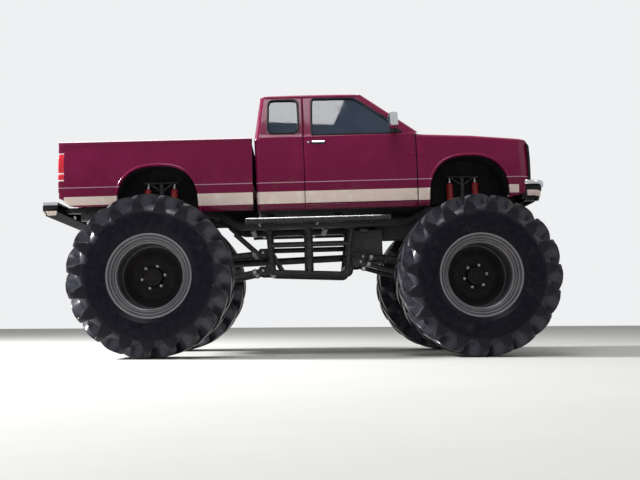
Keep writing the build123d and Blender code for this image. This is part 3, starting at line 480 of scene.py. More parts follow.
class Shell:
    # grids of points gathered into one mesh; shared rims are welded at the end
    def __init__(self):
        self.points = []
        self.quads = []
        self.finish = []
        self.total = 0

    def grid(self, p, closeU=False, closeV=False, finish=0):
        # one face between each four neighbours, and across the seams that are closed
        nu, nv = p.shape[:2]
        index = np.arange(nu * nv).reshape(nu, nv) + self.total
        if closeU:
            index = np.vstack([index, index[:1]])
        if closeV:
            index = np.hstack([index, index[:, :1]])
        quads = np.stack([index[:-1, :-1], index[1:, :-1], index[1:, 1:], index[:-1, 1:]], -1).reshape(-1, 4)
        self.points.append(p.reshape(-1, 3))
        self.quads.append(quads)
        self.finish.append(np.full(len(quads), finish))
        self.total += nu * nv

    def sheet(self, p, thick, finish=(0, 0), closeU=False):
        # outer grid, the same grid moved inwards, and the rims between them
        inner = p + np.asarray(thick, float)
        self.grid(p, closeU=closeU, finish=finish[0])
        self.grid(inner, closeU=closeU, finish=finish[1])
        for edge in (0, -1):
            self.grid(np.stack([p[:, edge], inner[:, edge]], 1), closeU=closeU, finish=finish[0])
            if not closeU:
                self.grid(np.stack([p[edge], inner[edge]], 0), finish=finish[0])

    def bar(self, start, end, radius, sides=16, finish=0):
        # round bar: circles about a line, drawn in to its axis at both ends
        start, end = np.asarray(start, float), np.asarray(end, float)
        axis = heading(start, end)
        ring = circle(axis, tubeSeed, sides)
        ease = axis * radius * 0.1
        rims = [(start, 0), (start, radius * 0.9), (start + ease, radius),
                (end - ease, radius), (end, radius * 0.9), (end, 0)]
        self.grid(np.stack([centre + ring * size for centre, size in rims], 1), closeU=True, finish=finish)

    def path(self, line, radius, sides, closed=False):
        # tube about a line of points: a ring across each point's mean direction
        line = np.asarray(line, float)
        ahead = np.roll(line, -1, 0) - np.roll(line, 1, 0) if closed else np.gradient(line, axis=0)
        ahead /= np.linalg.norm(ahead, axis=1, keepdims=True)
        rings = line[:, None] + radius * circle(ahead, tubeSeed, sides)
        self.grid(rings if closed else capped(rings), closeU=closed, closeV=True)

    def turned(self, profile, centre, axis, sides, finish=0, closed=False):
        # profile of (radius, distance along the axis) turned round it
        profile = np.asarray(profile, float)
        axis = np.asarray(axis, float) / np.linalg.norm(axis)
        ring = circle(axis, (0.0, 0.0, 1.0) if abs(axis[2]) < 0.9 else (1.0, 0.0, 0.0), sides)
        p = np.asarray(centre, float) + ring[:, None] * profile[:, :1] + axis * profile[:, 1:]
        self.grid(p, closeU=True, closeV=closed, finish=finish)

    def block(self, low, high, ease, finish=0):
        # box between two corners, its edges eased: rings of a rounded rectangle, drawn in at both ends
        low, high = np.minimum(low, high).astype(float), np.maximum(low, high).astype(float)
        ease = min(ease, *(0.45 * (high - low)))
        turn = np.add.outer(np.arange(4) * np.pi / 2, np.linspace(0, np.pi / 2, 4)).ravel()
        unit = np.stack([np.cos(turn), np.sin(turn)], 1)
        middle = (low + high)[:2] / 2
        inner = np.repeat([[1, 1], [-1, 1], [-1, -1], [1, -1]], 4, 0) * ((high - low)[:2] / 2 - ease)
        stations = ((low[2], 0), (low[2] + ease, ease), (high[2] - ease, ease), (high[2], 0))
        rings = [np.column_stack([middle + inner + unit * size, np.full(16, z)]) for z, size in stations]
        self.grid(capped(np.stack(rings, 1), 1), closeU=True, finish=finish)

    def moved(self, function):
        # every point passed through a function, such as a change of frame
        self.points = [function(p) for p in self.points]
        return self

    def mirrored(self):
        # adds the same grids on the other side of the centre plane
        start = self.total
        for p, q, f in list(zip(self.points, self.quads, self.finish)):
            self.points.append(p * (1, -1, 1))
            self.quads.append(q[:, ::-1] + start)
            self.finish.append(f)
        self.total = 2 * start
        return self

    def piece(self, name, body, slot, materials, replaces=(), sharp=35):
        # welds the grids, shades them smooth up to the sharp angle and hangs them on their body
        weld = 0.00004  # metres
        mesh = bpy.data.meshes.new(name)
        mesh.from_pydata(np.concatenate(self.points), [], np.concatenate(self.quads))
        for material in materials:
            mesh.materials.append(finishes[material])
        mesh.polygons.foreach_set("material_index", np.concatenate(self.finish).astype(np.int32))
        work = bmesh.new()
        work.from_mesh(mesh)
        bmesh.ops.remove_doubles(work, verts=work.verts, dist=weld)
        bmesh.ops.dissolve_degenerate(work, edges=work.edges, dist=weld)
        bmesh.ops.recalc_face_normals(work, faces=work.faces)
        work.to_mesh(mesh)
        work.free()
        mesh.polygons.foreach_set("use_smooth", np.ones(len(mesh.polygons), bool))
        mesh.set_sharp_from_angle(angle=math.radians(sharp))
        made = bpy.data.objects.new(name, mesh)
        bpy.context.scene.collection.objects.link(made)
        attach(made, body)
        if replaces:
            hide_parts(*replaces)
        return made


# Tyres: a turned carcass with two staggered rows of bar lugs over the shoulders
tyre = {
    "pairs": 19,
    "carcass": [(397, 246), (400, 254), (407, 262), (420, 268), (428, 272), (434, 279), (446, 283),
                (470, 288), (510, 291), (548, 290), (566, 287), (573, 288), (580, 286), (600, 280),
                (630, 266), (660, 244), (684, 212), (698, 168), (704, 110), (706, 40)],
    # stations of a lug from the middle of the tread outwards and down the shoulder
    "lugLine": [-16, 20, 60, 110, 160, 205, 240, 262, 278, 287, 292, 294, 293, 291, 288, 285, 281, 277],
    "lugTop": [769, 770.5, 770.5, 770.5, 770.5, 770.5, 770, 768, 765, 760, 748, 728, 704, 680, 656, 632,
               610, 594],
    "lugRoot": [690, 690, 689, 688, 684, 678, 668, 656, 644, 632, 622, 612, 604, 596, 590, 584, 578, 574],
    "lugRootLine": [-16, 20, 60, 110, 160, 200, 222, 236, 246, 252, 258, 262, 265, 268, 270, 272, 272, 272],
    "lugLead": [345, 318, 288, 254, 222, 190, 158, 118, 72, 40, 30, 34, 44, 56, 68, 80, 92, 100],
    "lugTrail": [262, 236, 204, 164, 120, 72, 28, 0, -17, -24, -26, -30, -35, -40, -45, -50, -54, -57],
    "lugLeadFlank": [12, 12, 12, 13, 15, 20, 30, 44, 56, 62, 64, 64, 62, 56, 48, 38, 26, 14],
    "lugTrailFlank": [12, 12, 12, 12, 12, 14, 20, 30, 40, 48, 54, 56, 54, 48, 40, 30, 20, 12],
    "lugTilt": [0, 0, 0, 0, 0, 0, 2, 6, 12, 18, 20, 12, 6, 0, 0, 0, 0, 0],
    "turnSteps": 152,
    "firstLug": 274.7368,    # degrees
    "lugShift": 50.0,        # along the tread, at the tread radius
    "treadRadius": 764.0,
}
corners = {
    "fl": (stance["frontAxle"], 1), "fr": (stance["frontAxle"], -1),
    "rl": (stance["rearAxle"], 1), "rr": (stance["rearAxle"], -1),
}


def onWheel(angle, radius, width, corner):
    # wheel coordinates to world: angle round the axle, radius, and width towards the outside
    x, side = corners[corner]
    return points(x + radius * np.cos(angle), side * (stance["halfTrack"] + width),
                  stance["axleHeight"] - radius * np.sin(angle)) / 1000


def tyrePiece(corner):
    # a turned carcass, closed all round, and two rows of lugs set half a pitch apart
    shell = Shell()
    half = np.array(tyre["carcass"], float)
    radius, width = np.concatenate([half, half[::-1] * (1, -1)]).T
    turn = np.linspace(0, 2 * np.pi, tyre["turnSteps"], endpoint=False)[:, None]
    shell.grid(onWheel(turn, radius, width, corner), closeU=True, closeV=True)
    # lug: across it from root to top and back; along it from the middle of the tread down the shoulder
    line, top, root, rootLine, lead, trail, leadFlank, trailFlank, tilt = (
        np.array(tyre["lug" + name], float)[:, None] for name in (
            "Line", "Top", "Root", "RootLine", "Lead", "Trail", "LeadFlank", "TrailFlank", "Tilt"))
    across = np.array([-1, -1, -1, -1, -1, -1, -0.94, 0, 0.94, 1, 1, 1, 1, 1, 1.0])
    rise = np.array([0, 0.1, 0.28, 0.55, 0.86, 0.965, 1, 1.0, 1, 0.965, 0.86, 0.55, 0.28, 0.1, 0])
    spread = np.array([1.0, 0.72, 0.45, 0.2, 0.04, 0, 0, 0, 0, 0, 0.04, 0.2, 0.45, 0.72, 1])
    flank = np.where(across < 0, leadFlank, trailFlank)
    offset = across * (lead - trail) / 2 - (lead + trail) / 2 + np.sign(across) * spread * flank
    radius = root + rise * (top - tilt * (across + 1) / 2 - root)
    width = rootLine + rise * (line - rootLine)
    offset, radius, width = capped(offset), capped(radius), capped(width)
    pitch = 2 * math.pi / tyre["pairs"]
    for row, flip in ((0.0, 1), (0.5, -1)):
        for lug in range(tyre["pairs"]):
            angle = math.radians(tyre["firstLug"]) + (lug + row) * pitch
            around = angle - (offset - tyre["lugShift"]) / tyre["treadRadius"]
            shell.grid(onWheel(around, radius, flip * width, corner), closeV=True)
    return shell.piece("tyreLugged_" + corner, "wheel_" + corner, "tyre", ["rubber"], ["tyre_" + corner], 38)


# Wheels: stepped rim, deep well, disc set far back, hub, nuts and drum
wheel = {
    "front": [(384, 236), (394, 239), (399.5, 244), (401, 250), (399.5, 256), (394, 259), (386, 257),
              (380, 250), (377, 243), (366, 239), (358, 236), (354, 230), (352, 222), (341, 218),
              (332, 214), (328, 206), (318, 202), (311, 194), (308, 184), (306, 120), (306, 20), (306, -40),
              (302, -49), (292, -53)],
    "disc": [(292, -53), (236, -52), (226, -47), (160, -46), (152, -52), (96, -53)],
    "hub": [(90, -53), (89, 0), (86, 7), (80, 9), (62, 9), (60, 6), (44, 6), (42, 12), (30, 14), (0, 14)],
    "back": [(0, -69), (88, -69), (205, -69), (206, -74), (206, -124), (201, -128), (92, -128), (90, -138),
             (52, -138)],
    "barrel": [(206, -70), (312, -70), (314, -100), (314, -200), (330, -222), (352, -232), (378, -240),
               (386, -257), (396, -258), (401, -250), (399, -243), (388, -238), (360, -236)],
    # a nut with its stud, a small bolt, and their circles
    "nut": [(0, -53), (19, -53), (19, -49), (15.5, -47), (15.5, -31), (13.5, -28), (8.5, -28), (8.5, -12),
            (7, -10), (0, -10)],
    "bolt": [(0, 8), (8.5, 8), (8.5, 14), (7, 16), (0, 16)],
    "nutCircle": 111.1,
    "boltCircle": 71.0,
}
wheelRounds = {"front": (0, 96), "disc": (1, 96), "hub": (1, 40), "back": (1, 60), "barrel": (0, 96)}


def wheelPiece(corner):
    # sections turned round the axle's line, with nuts and bolts at equal turns
    x, side = corners[corner]
    centre = np.array([x, side * stance["halfTrack"], stance["axleHeight"]])
    axis = (0, side, 0)
    shell = Shell()
    for part, (finish, sides) in wheelRounds.items():
        shell.turned(wheel[part], centre, axis, sides, finish)
    # six nuts with their studs, and a ring of small bolts on the hub
    for angle in np.radians(60 * np.arange(6) + 12):
        spot = centre + np.array([math.cos(angle), 0, math.sin(angle)]) * wheel["nutCircle"]
        shell.turned(wheel["nut"], spot, axis, 6, 2)
        spot = centre + np.array([math.cos(angle + 0.5), 0, math.sin(angle + 0.5)]) * wheel["boltCircle"]
        shell.turned(wheel["bolt"], spot, axis, 6, 1)
    # valve stem low on the well
    stem = centre + (-190, side * -48, 160)
    shell.bar(stem, stem + (22, side * 30, 12), 4.5, 8, 2)
    shell.moved(fromWorld).piece("wheelStepped_" + corner, "wheel_" + corner, "wheel_paint",
                                 ["rim", "disc", "steel"], ["wheel_" + corner], 30)


for corner in corners:
    tyrePiece(corner)
    wheelPiece(corner)
print("tyres and wheels made")


# Body panels are drawn in the body's level frame, in millimetres, on the left side
def smooth(value, low, high):
    t = np.clip((value - low) / (high - low), 0, 1)
    return t * t * (3 - 2 * t)


# Body side: half width at its crease, heights, and how far each stretch of it draws in
bodySide = {
    "half": 808,
    "crease": 222,
    "belt": 690,
    "under": 12,             # by 160 below the crease, growing by the square
    "creaseEdge": 3,         # just below the crease
    "waist": 33,             # from the crease up to the belt
    "beltStep": 7,           # where the window frames start
    "lean": (120, 15),       # by 430 above the belt: evenly, and growing by the square
    "nose": 75,              # over the last 154 at the front
}


def sideY(x, z):
    # half width: bowed out to the crease, leaning in above the belt, drawn in at the nose
    crease, belt = bodySide["crease"], bodySide["belt"]
    low = bodySide["half"] - bodySide["under"] * np.clip((crease - z) / 160, 0, None) ** 2
    low = low - bodySide["creaseEdge"] * smooth(z, crease, crease - 16)
    high = bodySide["half"] - bodySide["waist"] * np.clip((z - crease) / (belt - crease), 0, 1) ** 1.7
    even, growing = bodySide["lean"]
    up = np.clip((z - belt) / 430, 0, None)
    lean = even * up + growing * up ** 2 + bodySide["beltStep"] * smooth(z, belt - 2, belt + 12)
    nose = bodySide["nose"] * np.clip((x - 2030) / 154, 0, 1) ** 2.4
    return np.where(z < crease, low, high) - lean - nose


# Edges of a panel: distances of the stations from the edge, and how wide the rolled strip is
edgeStations = np.array([0, 2, 4.5])
rollWidth = 8


def rolledIn(edge, depth):
    # how far a skin draws in at a distance from its edge, by the square of what is left of the strip
    return depth * (1 - np.clip(edge / rollWidth, 0, 1)) ** 2


def eased(a, b, count):
    # stations from a to b, closer together at both ends
    middle = np.linspace(a + rollWidth, b - rollWidth, count)
    return np.concatenate([a + edgeStations, middle, b - edgeStations[::-1]])


arches = {
    "front": {"x": 1556.0, "z": 20.0, "half": 402.0, "rise": 428.0},
    "rear": {"x": -1554.0, "z": 20.0, "half": 400.0, "rise": 402.0},
}
archPower = 2.5              # 2 would be an ellipse, and more is squarer


def squared(value, power=0.45):
    # a cosine or sine to a power below 1, its sign kept, which makes a circle or a ball boxy
    return np.sign(value) * np.abs(value) ** power


def archPoint(arch, turn, grow=0.0):
    # superellipse by the turn from its rear end: cosine and sine, each to the power 2 over archPower
    flat = squared(np.cos(turn), 2 / archPower)
    high = squared(np.sin(turn), 2 / archPower)
    return arch["x"] - (arch["half"] + grow) * flat, arch["z"] + (arch["rise"] + grow) * high


def archColumns(a, b, arch):
    # stations along a panel, with the arch's own at equal turns
    spacing = 45
    middle = archPoint(arch, np.linspace(0, np.pi, 49))[0]
    before = eased(a, middle[0], max(2, int((middle[0] - a) / spacing)))[:-1]
    after = eased(middle[-1], b, max(2, int((b - middle[-1]) / spacing)))[1:]
    return np.concatenate([before, middle, after])


def archFoot(x, arch, foot):
    # height of the panel's lower edge: the foot line, or the arch where it is over that
    inside = 1 - np.abs((x - arch["x"]) / arch["half"]) ** archPower
    inside = np.clip(inside, 0, None) ** (1 / archPower)
    return np.where(inside > 0, np.maximum(arch["z"] + arch["rise"] * inside, foot), foot)


def sidePanel(shell, x, heights, low, high, thick, finish, slant=None, inset=0.0,
              rolled="rear front low high"):
    # columns at x, rows at fixed heights kept between the low and high edges, the named edges rolled in
    low = np.broadcast_to(np.asarray(low, float), x.shape)[:, None]
    high = np.broadcast_to(np.asarray(high, float), x.shape)[:, None]
    middle = np.clip(heights, low + rollWidth, high - rollWidth)
    z = np.concatenate([low + edgeStations, middle, high - edgeStations[::-1]], 1)
    along = x[:, None] + 0 * z
    distance = {"rear": along - x[0], "front": x[-1] - along, "low": z - low, "high": high - z}
    edge = np.minimum.reduce([distance[name] for name in rolled.split()])
    y = sideY(along, z) - inset - rolledIn(edge, 5)
    if slant is not None:
        along = along + slant(along, z)
    shell.sheet(points(along, y, z), (0, -thick, 0), finish)


def rounded(corners, radius, step=34.0):
    # closed outline with a quadratic curve at each corner and points along the straight runs
    corners = np.asarray(corners, float)
    share = np.linspace(0, 1, 7)[:, None]
    line = []
    for i, corner in enumerate(corners):
        before, after = corners[i - 1], corners[(i + 1) % len(corners)]
        most = 0.45 * np.linalg.norm(after - corner)
        size = min(radius, 0.45 * np.linalg.norm(before - corner), most)
        b = toward(corner, after, size)
        line.append(curve(toward(corner, before, size), corner, b, share))
        far = toward(after, corner, min(radius, most))
        count = int(np.linalg.norm(far - b) / step)
        line.append(b + (far - b) * np.linspace(0, 1, count + 2)[1:-1, None])
    return np.concatenate(line)


def roundedBox(low, high, radius, step=40.0):
    # the same for a box between two corners
    (a, c), (b, d) = low, high
    return rounded([(a, c), (a, d), (b, d), (b, c)], radius, step)


def atTurns(loop, centre, turn):
    # radius of a closed outline about a centre, as a function of the turn
    offset = loop - centre
    angle = np.arctan2(offset[:, 1], offset[:, 0])
    order = np.argsort(angle)
    size = np.interp(turn, angle[order], np.hypot(offset[:, 0], offset[:, 1])[order], period=2 * np.pi)
    return centre + size[:, None] * np.stack([np.cos(turn), np.sin(turn)], 1)


def framePanel(shell, outer, inner, centre, place, thick, finish, rows=7):
    # ring between two outlines; place() lifts it to 3-D with the distance that each edge is rolled in
    centre = np.asarray(centre, float)
    turns = [np.arctan2(*(loop - centre).T[::-1]) for loop in (outer, inner)]
    turn = np.unique(np.round(np.concatenate(turns), 5))
    a, b = atTurns(outer, centre, turn), atTurns(inner, centre, turn)
    span = np.linalg.norm(b - a, axis=1)[:, None]
    ends = np.append(edgeStations, rollWidth)
    inside = np.linspace(0, 1, rows)[1:-1] * (1 - 2 * rollWidth / span) + rollWidth / span
    share = np.concatenate([ends / span, inside, 1 - ends[::-1] / span], 1)
    flat = a[:, None] + share[..., None] * (b - a)[:, None]
    edge = np.minimum(share, 1 - share) * span
    p = place(flat[..., 0], flat[..., 1], rolledIn(edge, 4))
    shell.sheet(p, thick, finish, closeU=True)


def pane(shell, outline, centre, place, thick, finish=(0, 0)):
    # sheet inside an outline: rings drawn in towards the centre
    shell.sheet(place(*drawnIn(outline, centre, np.linspace(1, 0, 7))), thick, finish, closeU=True)


def onSide(x, z, inwards=0.0):
    # a point of the side face, moved towards the centre plane
    return points(x, sideY(x, z) - inwards, z)


outline = {
    "doorWindow": [(-13, 705), (2, 1104), (428, 1104), (794, 834), (794, 705)],
    "quarterWindow": [(-455, 728), (-440, 1095), (-142, 1095), (-142, 728)],
    "rearWindow": [(-500, 745), (-490, 1050), (490, 1050), (500, 745)],
    "doorFrame": [(-91, 698), (-91, 1131), (461, 1131), (1024, 689), (1024, 660), (-91, 660)],
    "quarterFrame": [(-540, 660), (-474, 1131), (-98, 1131), (-98, 660)],
    "rearWall": [(-735, -50), (-735, 690), (-590, 1131), (590, 1131), (735, 690), (735, -50)],
}
windowMiddle = {"door": (320, 880), "quarter": (-298, 912), "rear": (0, 900)}
rearLine = ([-50, 658, 1127, 1150], [-570, -588, -522, -510])


def rearX(z):
    # the cab's back, which leans forward above the belt
    return np.interp(z, *rearLine)


def onRear(y, z, roll):
    # a point of the cab's back, kept within its sides
    reach = sideY(-540, z) - 46
    return points(rearX(z) + roll, np.clip(y, -reach, reach), z)


def cabPosts(cab):
    # roof edge over the door, down the windscreen pillar: a curved strip between two straight lines
    t = np.linspace(0, 1, 30)
    low = onSide(1030 - 560 * t, 690 + 444 * t)
    top = points(1062 - 545 * t, 690 - 130 * t, 722 + 422 * t)
    bend = points((low[:, 0] + top[:, 0]) / 2 + 16, low[:, 1] - 8, (low[:, 2] + top[:, 2]) / 2 + 14)
    post = curve(low[:, None], bend[:, None], top[:, None], np.linspace(0, 1, 9)[:, None])
    cab.sheet(post, (-26, -26, -20), (0, 1))
    # cab corner behind the side panel
    radius = 48
    z = np.linspace(-50, 1131, 50)
    turn = np.concatenate([[-0.2], np.linspace(0, np.pi / 2, 9)])[:, None]
    y = sideY(-540, z) - radius + radius * np.cos(np.maximum(turn, 0)) + 0.1
    cab.sheet(points(rearX(z) + radius - radius * np.sin(turn), y, z), (14, -14, 0), (0, 1))


# Roof: height of its middle along the cab, over an edge that stands on the side frames
roof = {
    "x": [-524, -505, -480, -440, -250, 0, 250, 400, 512],
    "top": [1127, 1149, 1163, 1169, 1175, 1177, 1175.5, 1171, 1162],
    "edge": 1128.0,
}


def cabRoof(cab):
    # pillow: full height in the middle, falling to the edge by the fifth power of the distance across
    x = np.concatenate([np.linspace(-524, -470, 9), np.linspace(-440, 400, 22), np.linspace(425, 512, 8)])
    x = x[:, None]
    across = np.sin(np.linspace(-np.pi / 2, np.pi / 2, 61))
    half = 636 - 62 * smooth(x, 455, 516) - 30 * smooth(x, -470, -530)
    crown = np.interp(x, roof["x"], roof["top"]) - roof["edge"]
    z = roof["edge"] + crown * (1 - np.abs(across) ** 5) ** 0.45
    cab.sheet(points(x, half * across, z), (0, 0, -22), (0, 1))


def cabSides():
    # side panels and window frames, mirrored, then what spans the cab
    cab = Shell()
    heights = np.linspace(-20, 655, 36)
    sidePanel(cab, eased(-540, -98, 12), heights, -50, 668, 40, (0, 1),
              lambda x, z: (rearX(z) + 588) * smooth(x, -400, -540), rolled="front low")
    framePanel(cab, rounded(outline["quarterFrame"], 10), rounded(outline["quarterWindow"], 60),
               windowMiddle["quarter"], onSide, (0, -40, 0), (0, 1))
    # rocker below the door, and the jambs behind the door's gaps, dark as painted shade in the gaps
    sidePanel(cab, eased(-98, 1034, 30), np.linspace(-44, -2, 8), -50, 4, 40, (0, 1))
    sidePanel(cab, eased(1030, 1088, 2), heights, 0, 690, 6, (1, 1), inset=32)
    sidePanel(cab, eased(-125, -60, 3), np.linspace(8, 1110, 50), 0, 1120, 6, (1, 1), inset=42)
    sidePanel(cab, eased(-70, 1034, 30), np.linspace(-30, 0, 4), -40, 12, 6, (1, 1), inset=42)
    cabPosts(cab)
    cab.mirrored()
    # rear wall with its window
    framePanel(cab, rounded(outline["rearWall"], 8), rounded(outline["rearWindow"], 60), windowMiddle["rear"],
               onRear, (30, 0, 0), (0, 1), rows=16)
    cabRoof(cab)
    # floor, firewall, cowl and the header over the windscreen
    cab.block((-560, -735, -50), (1040, 735, -6), 4, 1)
    cab.block((1046, -735, -50), (1088, 735, 688), 4, 1)
    y = np.linspace(-1, 1, 31)
    v = np.linspace(0, 1, 7)[:, None]
    cowl = points(1046 + 42 * v, (700 + 42 * v) * y, 714 - 25 * v - 6 * np.abs(y) ** 3 + 3 * (1 - y ** 2))
    cab.sheet(cowl, (0, 0, -8), (0, 0))
    header = points(505 + 19 * v, (550 - 10 * v) * y, 1157 - 18 * v - 20 * np.abs(y) ** 5)
    cab.sheet(header, (-16, 0, -12), (0, 1))
    cab.moved(fromBody).piece("cabSkin", "chassis", "body_paint", ["body", "trim"], ["cab_shell"])


def sealLoop(shell, corners, radius, size):
    # rubber cord round a window, 1 mm behind the side face
    loop = rounded(corners, radius, 24)
    shell.path(onSide(loop[:, 0], loop[:, 1], 1.0), size, 10, closed=True)


def screenPoint(u, v):
    # windscreen: from its foot to its head by v, bowed forward in the middle of its width u
    bow = 34 * (1 - np.abs(u) ** 2.2)
    return points(1022 - 502 * v + 0.618 * bow, (676 - 134 * v) * u, 738 + 396 * v + 0.786 * bow)


def cabSeals():
    # rubber round the quarter windows, the rear window and the windscreen
    seals = Shell()
    sealLoop(seals, outline["quarterWindow"], 60, 11)
    seals.mirrored()
    y, z = rounded(outline["rearWindow"], 60).T
    seals.path(points(rearX(z) - 1, y, z), 10, 10, closed=True)
    u, v = np.linspace(-1, 1, 21), np.linspace(0, 1, 14)
    screen = [screenPoint(u, 0.0), screenPoint(1.0, v), screenPoint(-u, 1.0), screenPoint(-1.0, v[::-1])]
    seals.path(np.concatenate([part[:-1] for part in screen]), 9, 10, closed=True)
    seals.moved(fromBody).piece("cabSeals", "chassis", "trim", ["trim"], sharp=60)


def cabGlass():
    # quarter windows, rear window and windscreen, each just inside its frame
    glass = Shell()
    pane(glass, rounded(outline["quarterWindow"], 60), windowMiddle["quarter"], lambda x, z: onSide(x, z, 9),
         (0, -5, 0))
    glass.mirrored()
    pane(glass, rounded(outline["rearWindow"], 60), windowMiddle["rear"],
         lambda y, z: points(rearX(z) + 8, y, z), (5, 0, 0))
    glass.sheet(screenPoint(np.linspace(-1, 1, 25)[:, None], np.linspace(0, 1, 15)), (-3, 0, -4))
    glass.moved(fromBody).piece("cabGlass", "chassis", "glass", ["glass"], ["cab_glass"], 40)


def sideOf(shell, letter):
    # the left side as drawn, or turned over to the right
    if letter == "r":
        shell.moved(lambda p: p * (1, -1, 1))
    return shell.moved(fromBody)


def doorPart(shell, letter, name, slot, materials, replaces=(), sharp=35):
    # hangs a part on its side's door; its name and the node that it replaces end in the side's letter
    sideOf(shell, letter).piece(name + "_" + letter, "door_" + letter, slot, materials,
                                [node + "_" + letter for node in replaces], sharp)


def doorPieces(letter):
    # skin, seals, handle, glass and mirror of one door
    door = Shell()
    heights = np.concatenate([np.linspace(20, 205, 12), [214, 222, 230], np.linspace(245, 655, 24)])
    sidePanel(door, eased(-91, 1029, 36), heights, 10, 668, 38, (0, 1), rolled="rear front low")
    window = rounded(outline["doorWindow"], 30)
    framePanel(door, rounded(outline["doorFrame"], 12), window, windowMiddle["door"], onSide, (0, -34, 0),
               (0, 1), rows=6)
    # hinge leaves at the front edge
    for height in (150, 480):
        door.block((990, 762, height - 8), (1029, 801, height + 8), 2, 0)
    doorPart(door, letter, "doorSkin", "body_paint", ["body", "trim"], ["door"])
    trim = Shell()
    sealLoop(trim, outline["doorWindow"], 30, 10)
    trim.path(onSide(np.linspace(-10, 800, 40), 700.0, -1.0), 6, 10)
    doorPart(trim, letter, "doorSeal", "trim", ["trim"], sharp=60)
    # handle: a shallow bowl plate with a paddle over it, and the lock behind
    handle = Shell()
    pane(handle, roundedBox((-16, 606), (122, 642), 12, 12), (54, 626),
         lambda x, z: onSide(x, z, np.abs(z - 626) / 10 - 3), (0, -5, 0), (1, 1))
    pane(handle, roundedBox((-10, 622), (116, 640), 8, 12), (53, 631),
         lambda x, z: onSide(x, z, 0.05 * (z - 631) ** 2 - 12), (0, -8, 0))
    handle.turned([(0, 8), (9, 8), (12, 5), (12.5, 0)], onSide(-46.0, 626.0, -2.0), (0, 1, 0), 20)
    doorPart(handle, letter, "doorHandle", "chrome", ["chrome", "trim"], sharp=40)
    glass = Shell()
    pane(glass, window, windowMiddle["door"], lambda x, z: onSide(x, z, 11), (0, -5, 0))
    doorPart(glass, letter, "doorGlass", "glass", ["glass"], ["door_glass"], 40)
    # mirror: rounded box shell over a dark triangular foot
    mirrorHead = Shell()
    ring = rounded([(750, 722), (746, 868), (836, 874), (842, 718)], 26, 30)
    x, z = drawnIn(ring, (794, 796), [0.0, 0.86, 0.95, 1.0, 1.0, 0.96, 0.8, 0.0])
    mirrorHead.grid(points(x, 852 + np.array([0, 4, 10, 40, 90, 124, 142, 150]), z), closeU=True)
    mirrorHead.bar((830, 770, 735), (812, 868, 762), 15, 14, 1)
    foot = rounded([(780, 706), (784, 760), (838, 768), (908, 712)], 12, 14)
    pane(mirrorHead, foot, (826, 736), lambda x, z: onSide(x, z, -12), (0, -26, 0), (1, 1))
    doorPart(mirrorHead, letter, "mirrorHead", "chrome", ["chrome", "trim"], ["mirror"], 40)


lipProfile = [(0, -34), (0, -4), (1, 1), (4, 4.5), (10, 6), (18, 5), (24, 2), (27, -2)]


def archLip(shell, arch, rearFoot, frontFoot):
    # rolled flange along the arch and straight down to its feet, with a return behind it
    x, z = archPoint(arch, np.linspace(0, np.pi, 61))
    x = np.concatenate([[x[0]] * 2, x, [x[-1]] * 2])
    z = np.concatenate([[rearFoot, (rearFoot + z[0]) / 2], z, [(frontFoot + z[-1]) / 2, frontFoot]])
    run = np.stack([np.gradient(x), np.gradient(z)], 1)
    run /= np.linalg.norm(run, axis=1, keepdims=True)
    away, out = np.array(lipProfile).T
    x, z = x[:, None] - run[:, 1:] * away, z[:, None] + run[:, :1] * away
    shell.sheet(onSide(x, z, -out), (0, -2.5, 0))


def wheelWell(shell, arch, depth):
    # dark liner from the arch inwards, closed by a flat apron at the given distance from the centre plane,
    # both dark as painted shade inside the arch
    x, z = archPoint(arch, np.linspace(0, np.pi, 49)[:, None], 5.0)
    mouth = bodySide["half"] - 18
    shell.sheet(points(x, mouth - (mouth - depth) * np.linspace(0, 1, 8), z), (0, 0, 5), (1, 1))
    share = np.linspace(1, 0, 12)
    apron = points(arch["x"] + (x - arch["x"]) * share, depth, -25 + (z + 25) * share)
    shell.sheet(apron, (0, -5, 0), (1, 1))


# Fender: its foot, belt and shoulder's top along the truck, and the air dam's plan and section
fender = {
    "foot": ([1039, 1958, 1959, 2092, 2168, 2180], [-46, -46, 30, 40, 160, 176]),
    "belt": ([1039, 1590, 2100, 2150, 2180], [650, 622, 574, 566, 545]),
    "shoulder": ([1039, 1590, 2150, 2168, 2181], [690, 662, 609, 596, 560]),
    "damPlan": [(2098, 772), (2140, 764), (2164, 720), (2170, 400), (2172, 0), (2170, -400), (2164, -720),
                (2140, -764), (2098, -772)],
    "damSection": [(0, 232), (2, 120), (-4, 40), (-22, -4)],
    "bend": 46,              # radius of the shoulder
    "hoodGap": 650,          # half width between the fenders
}


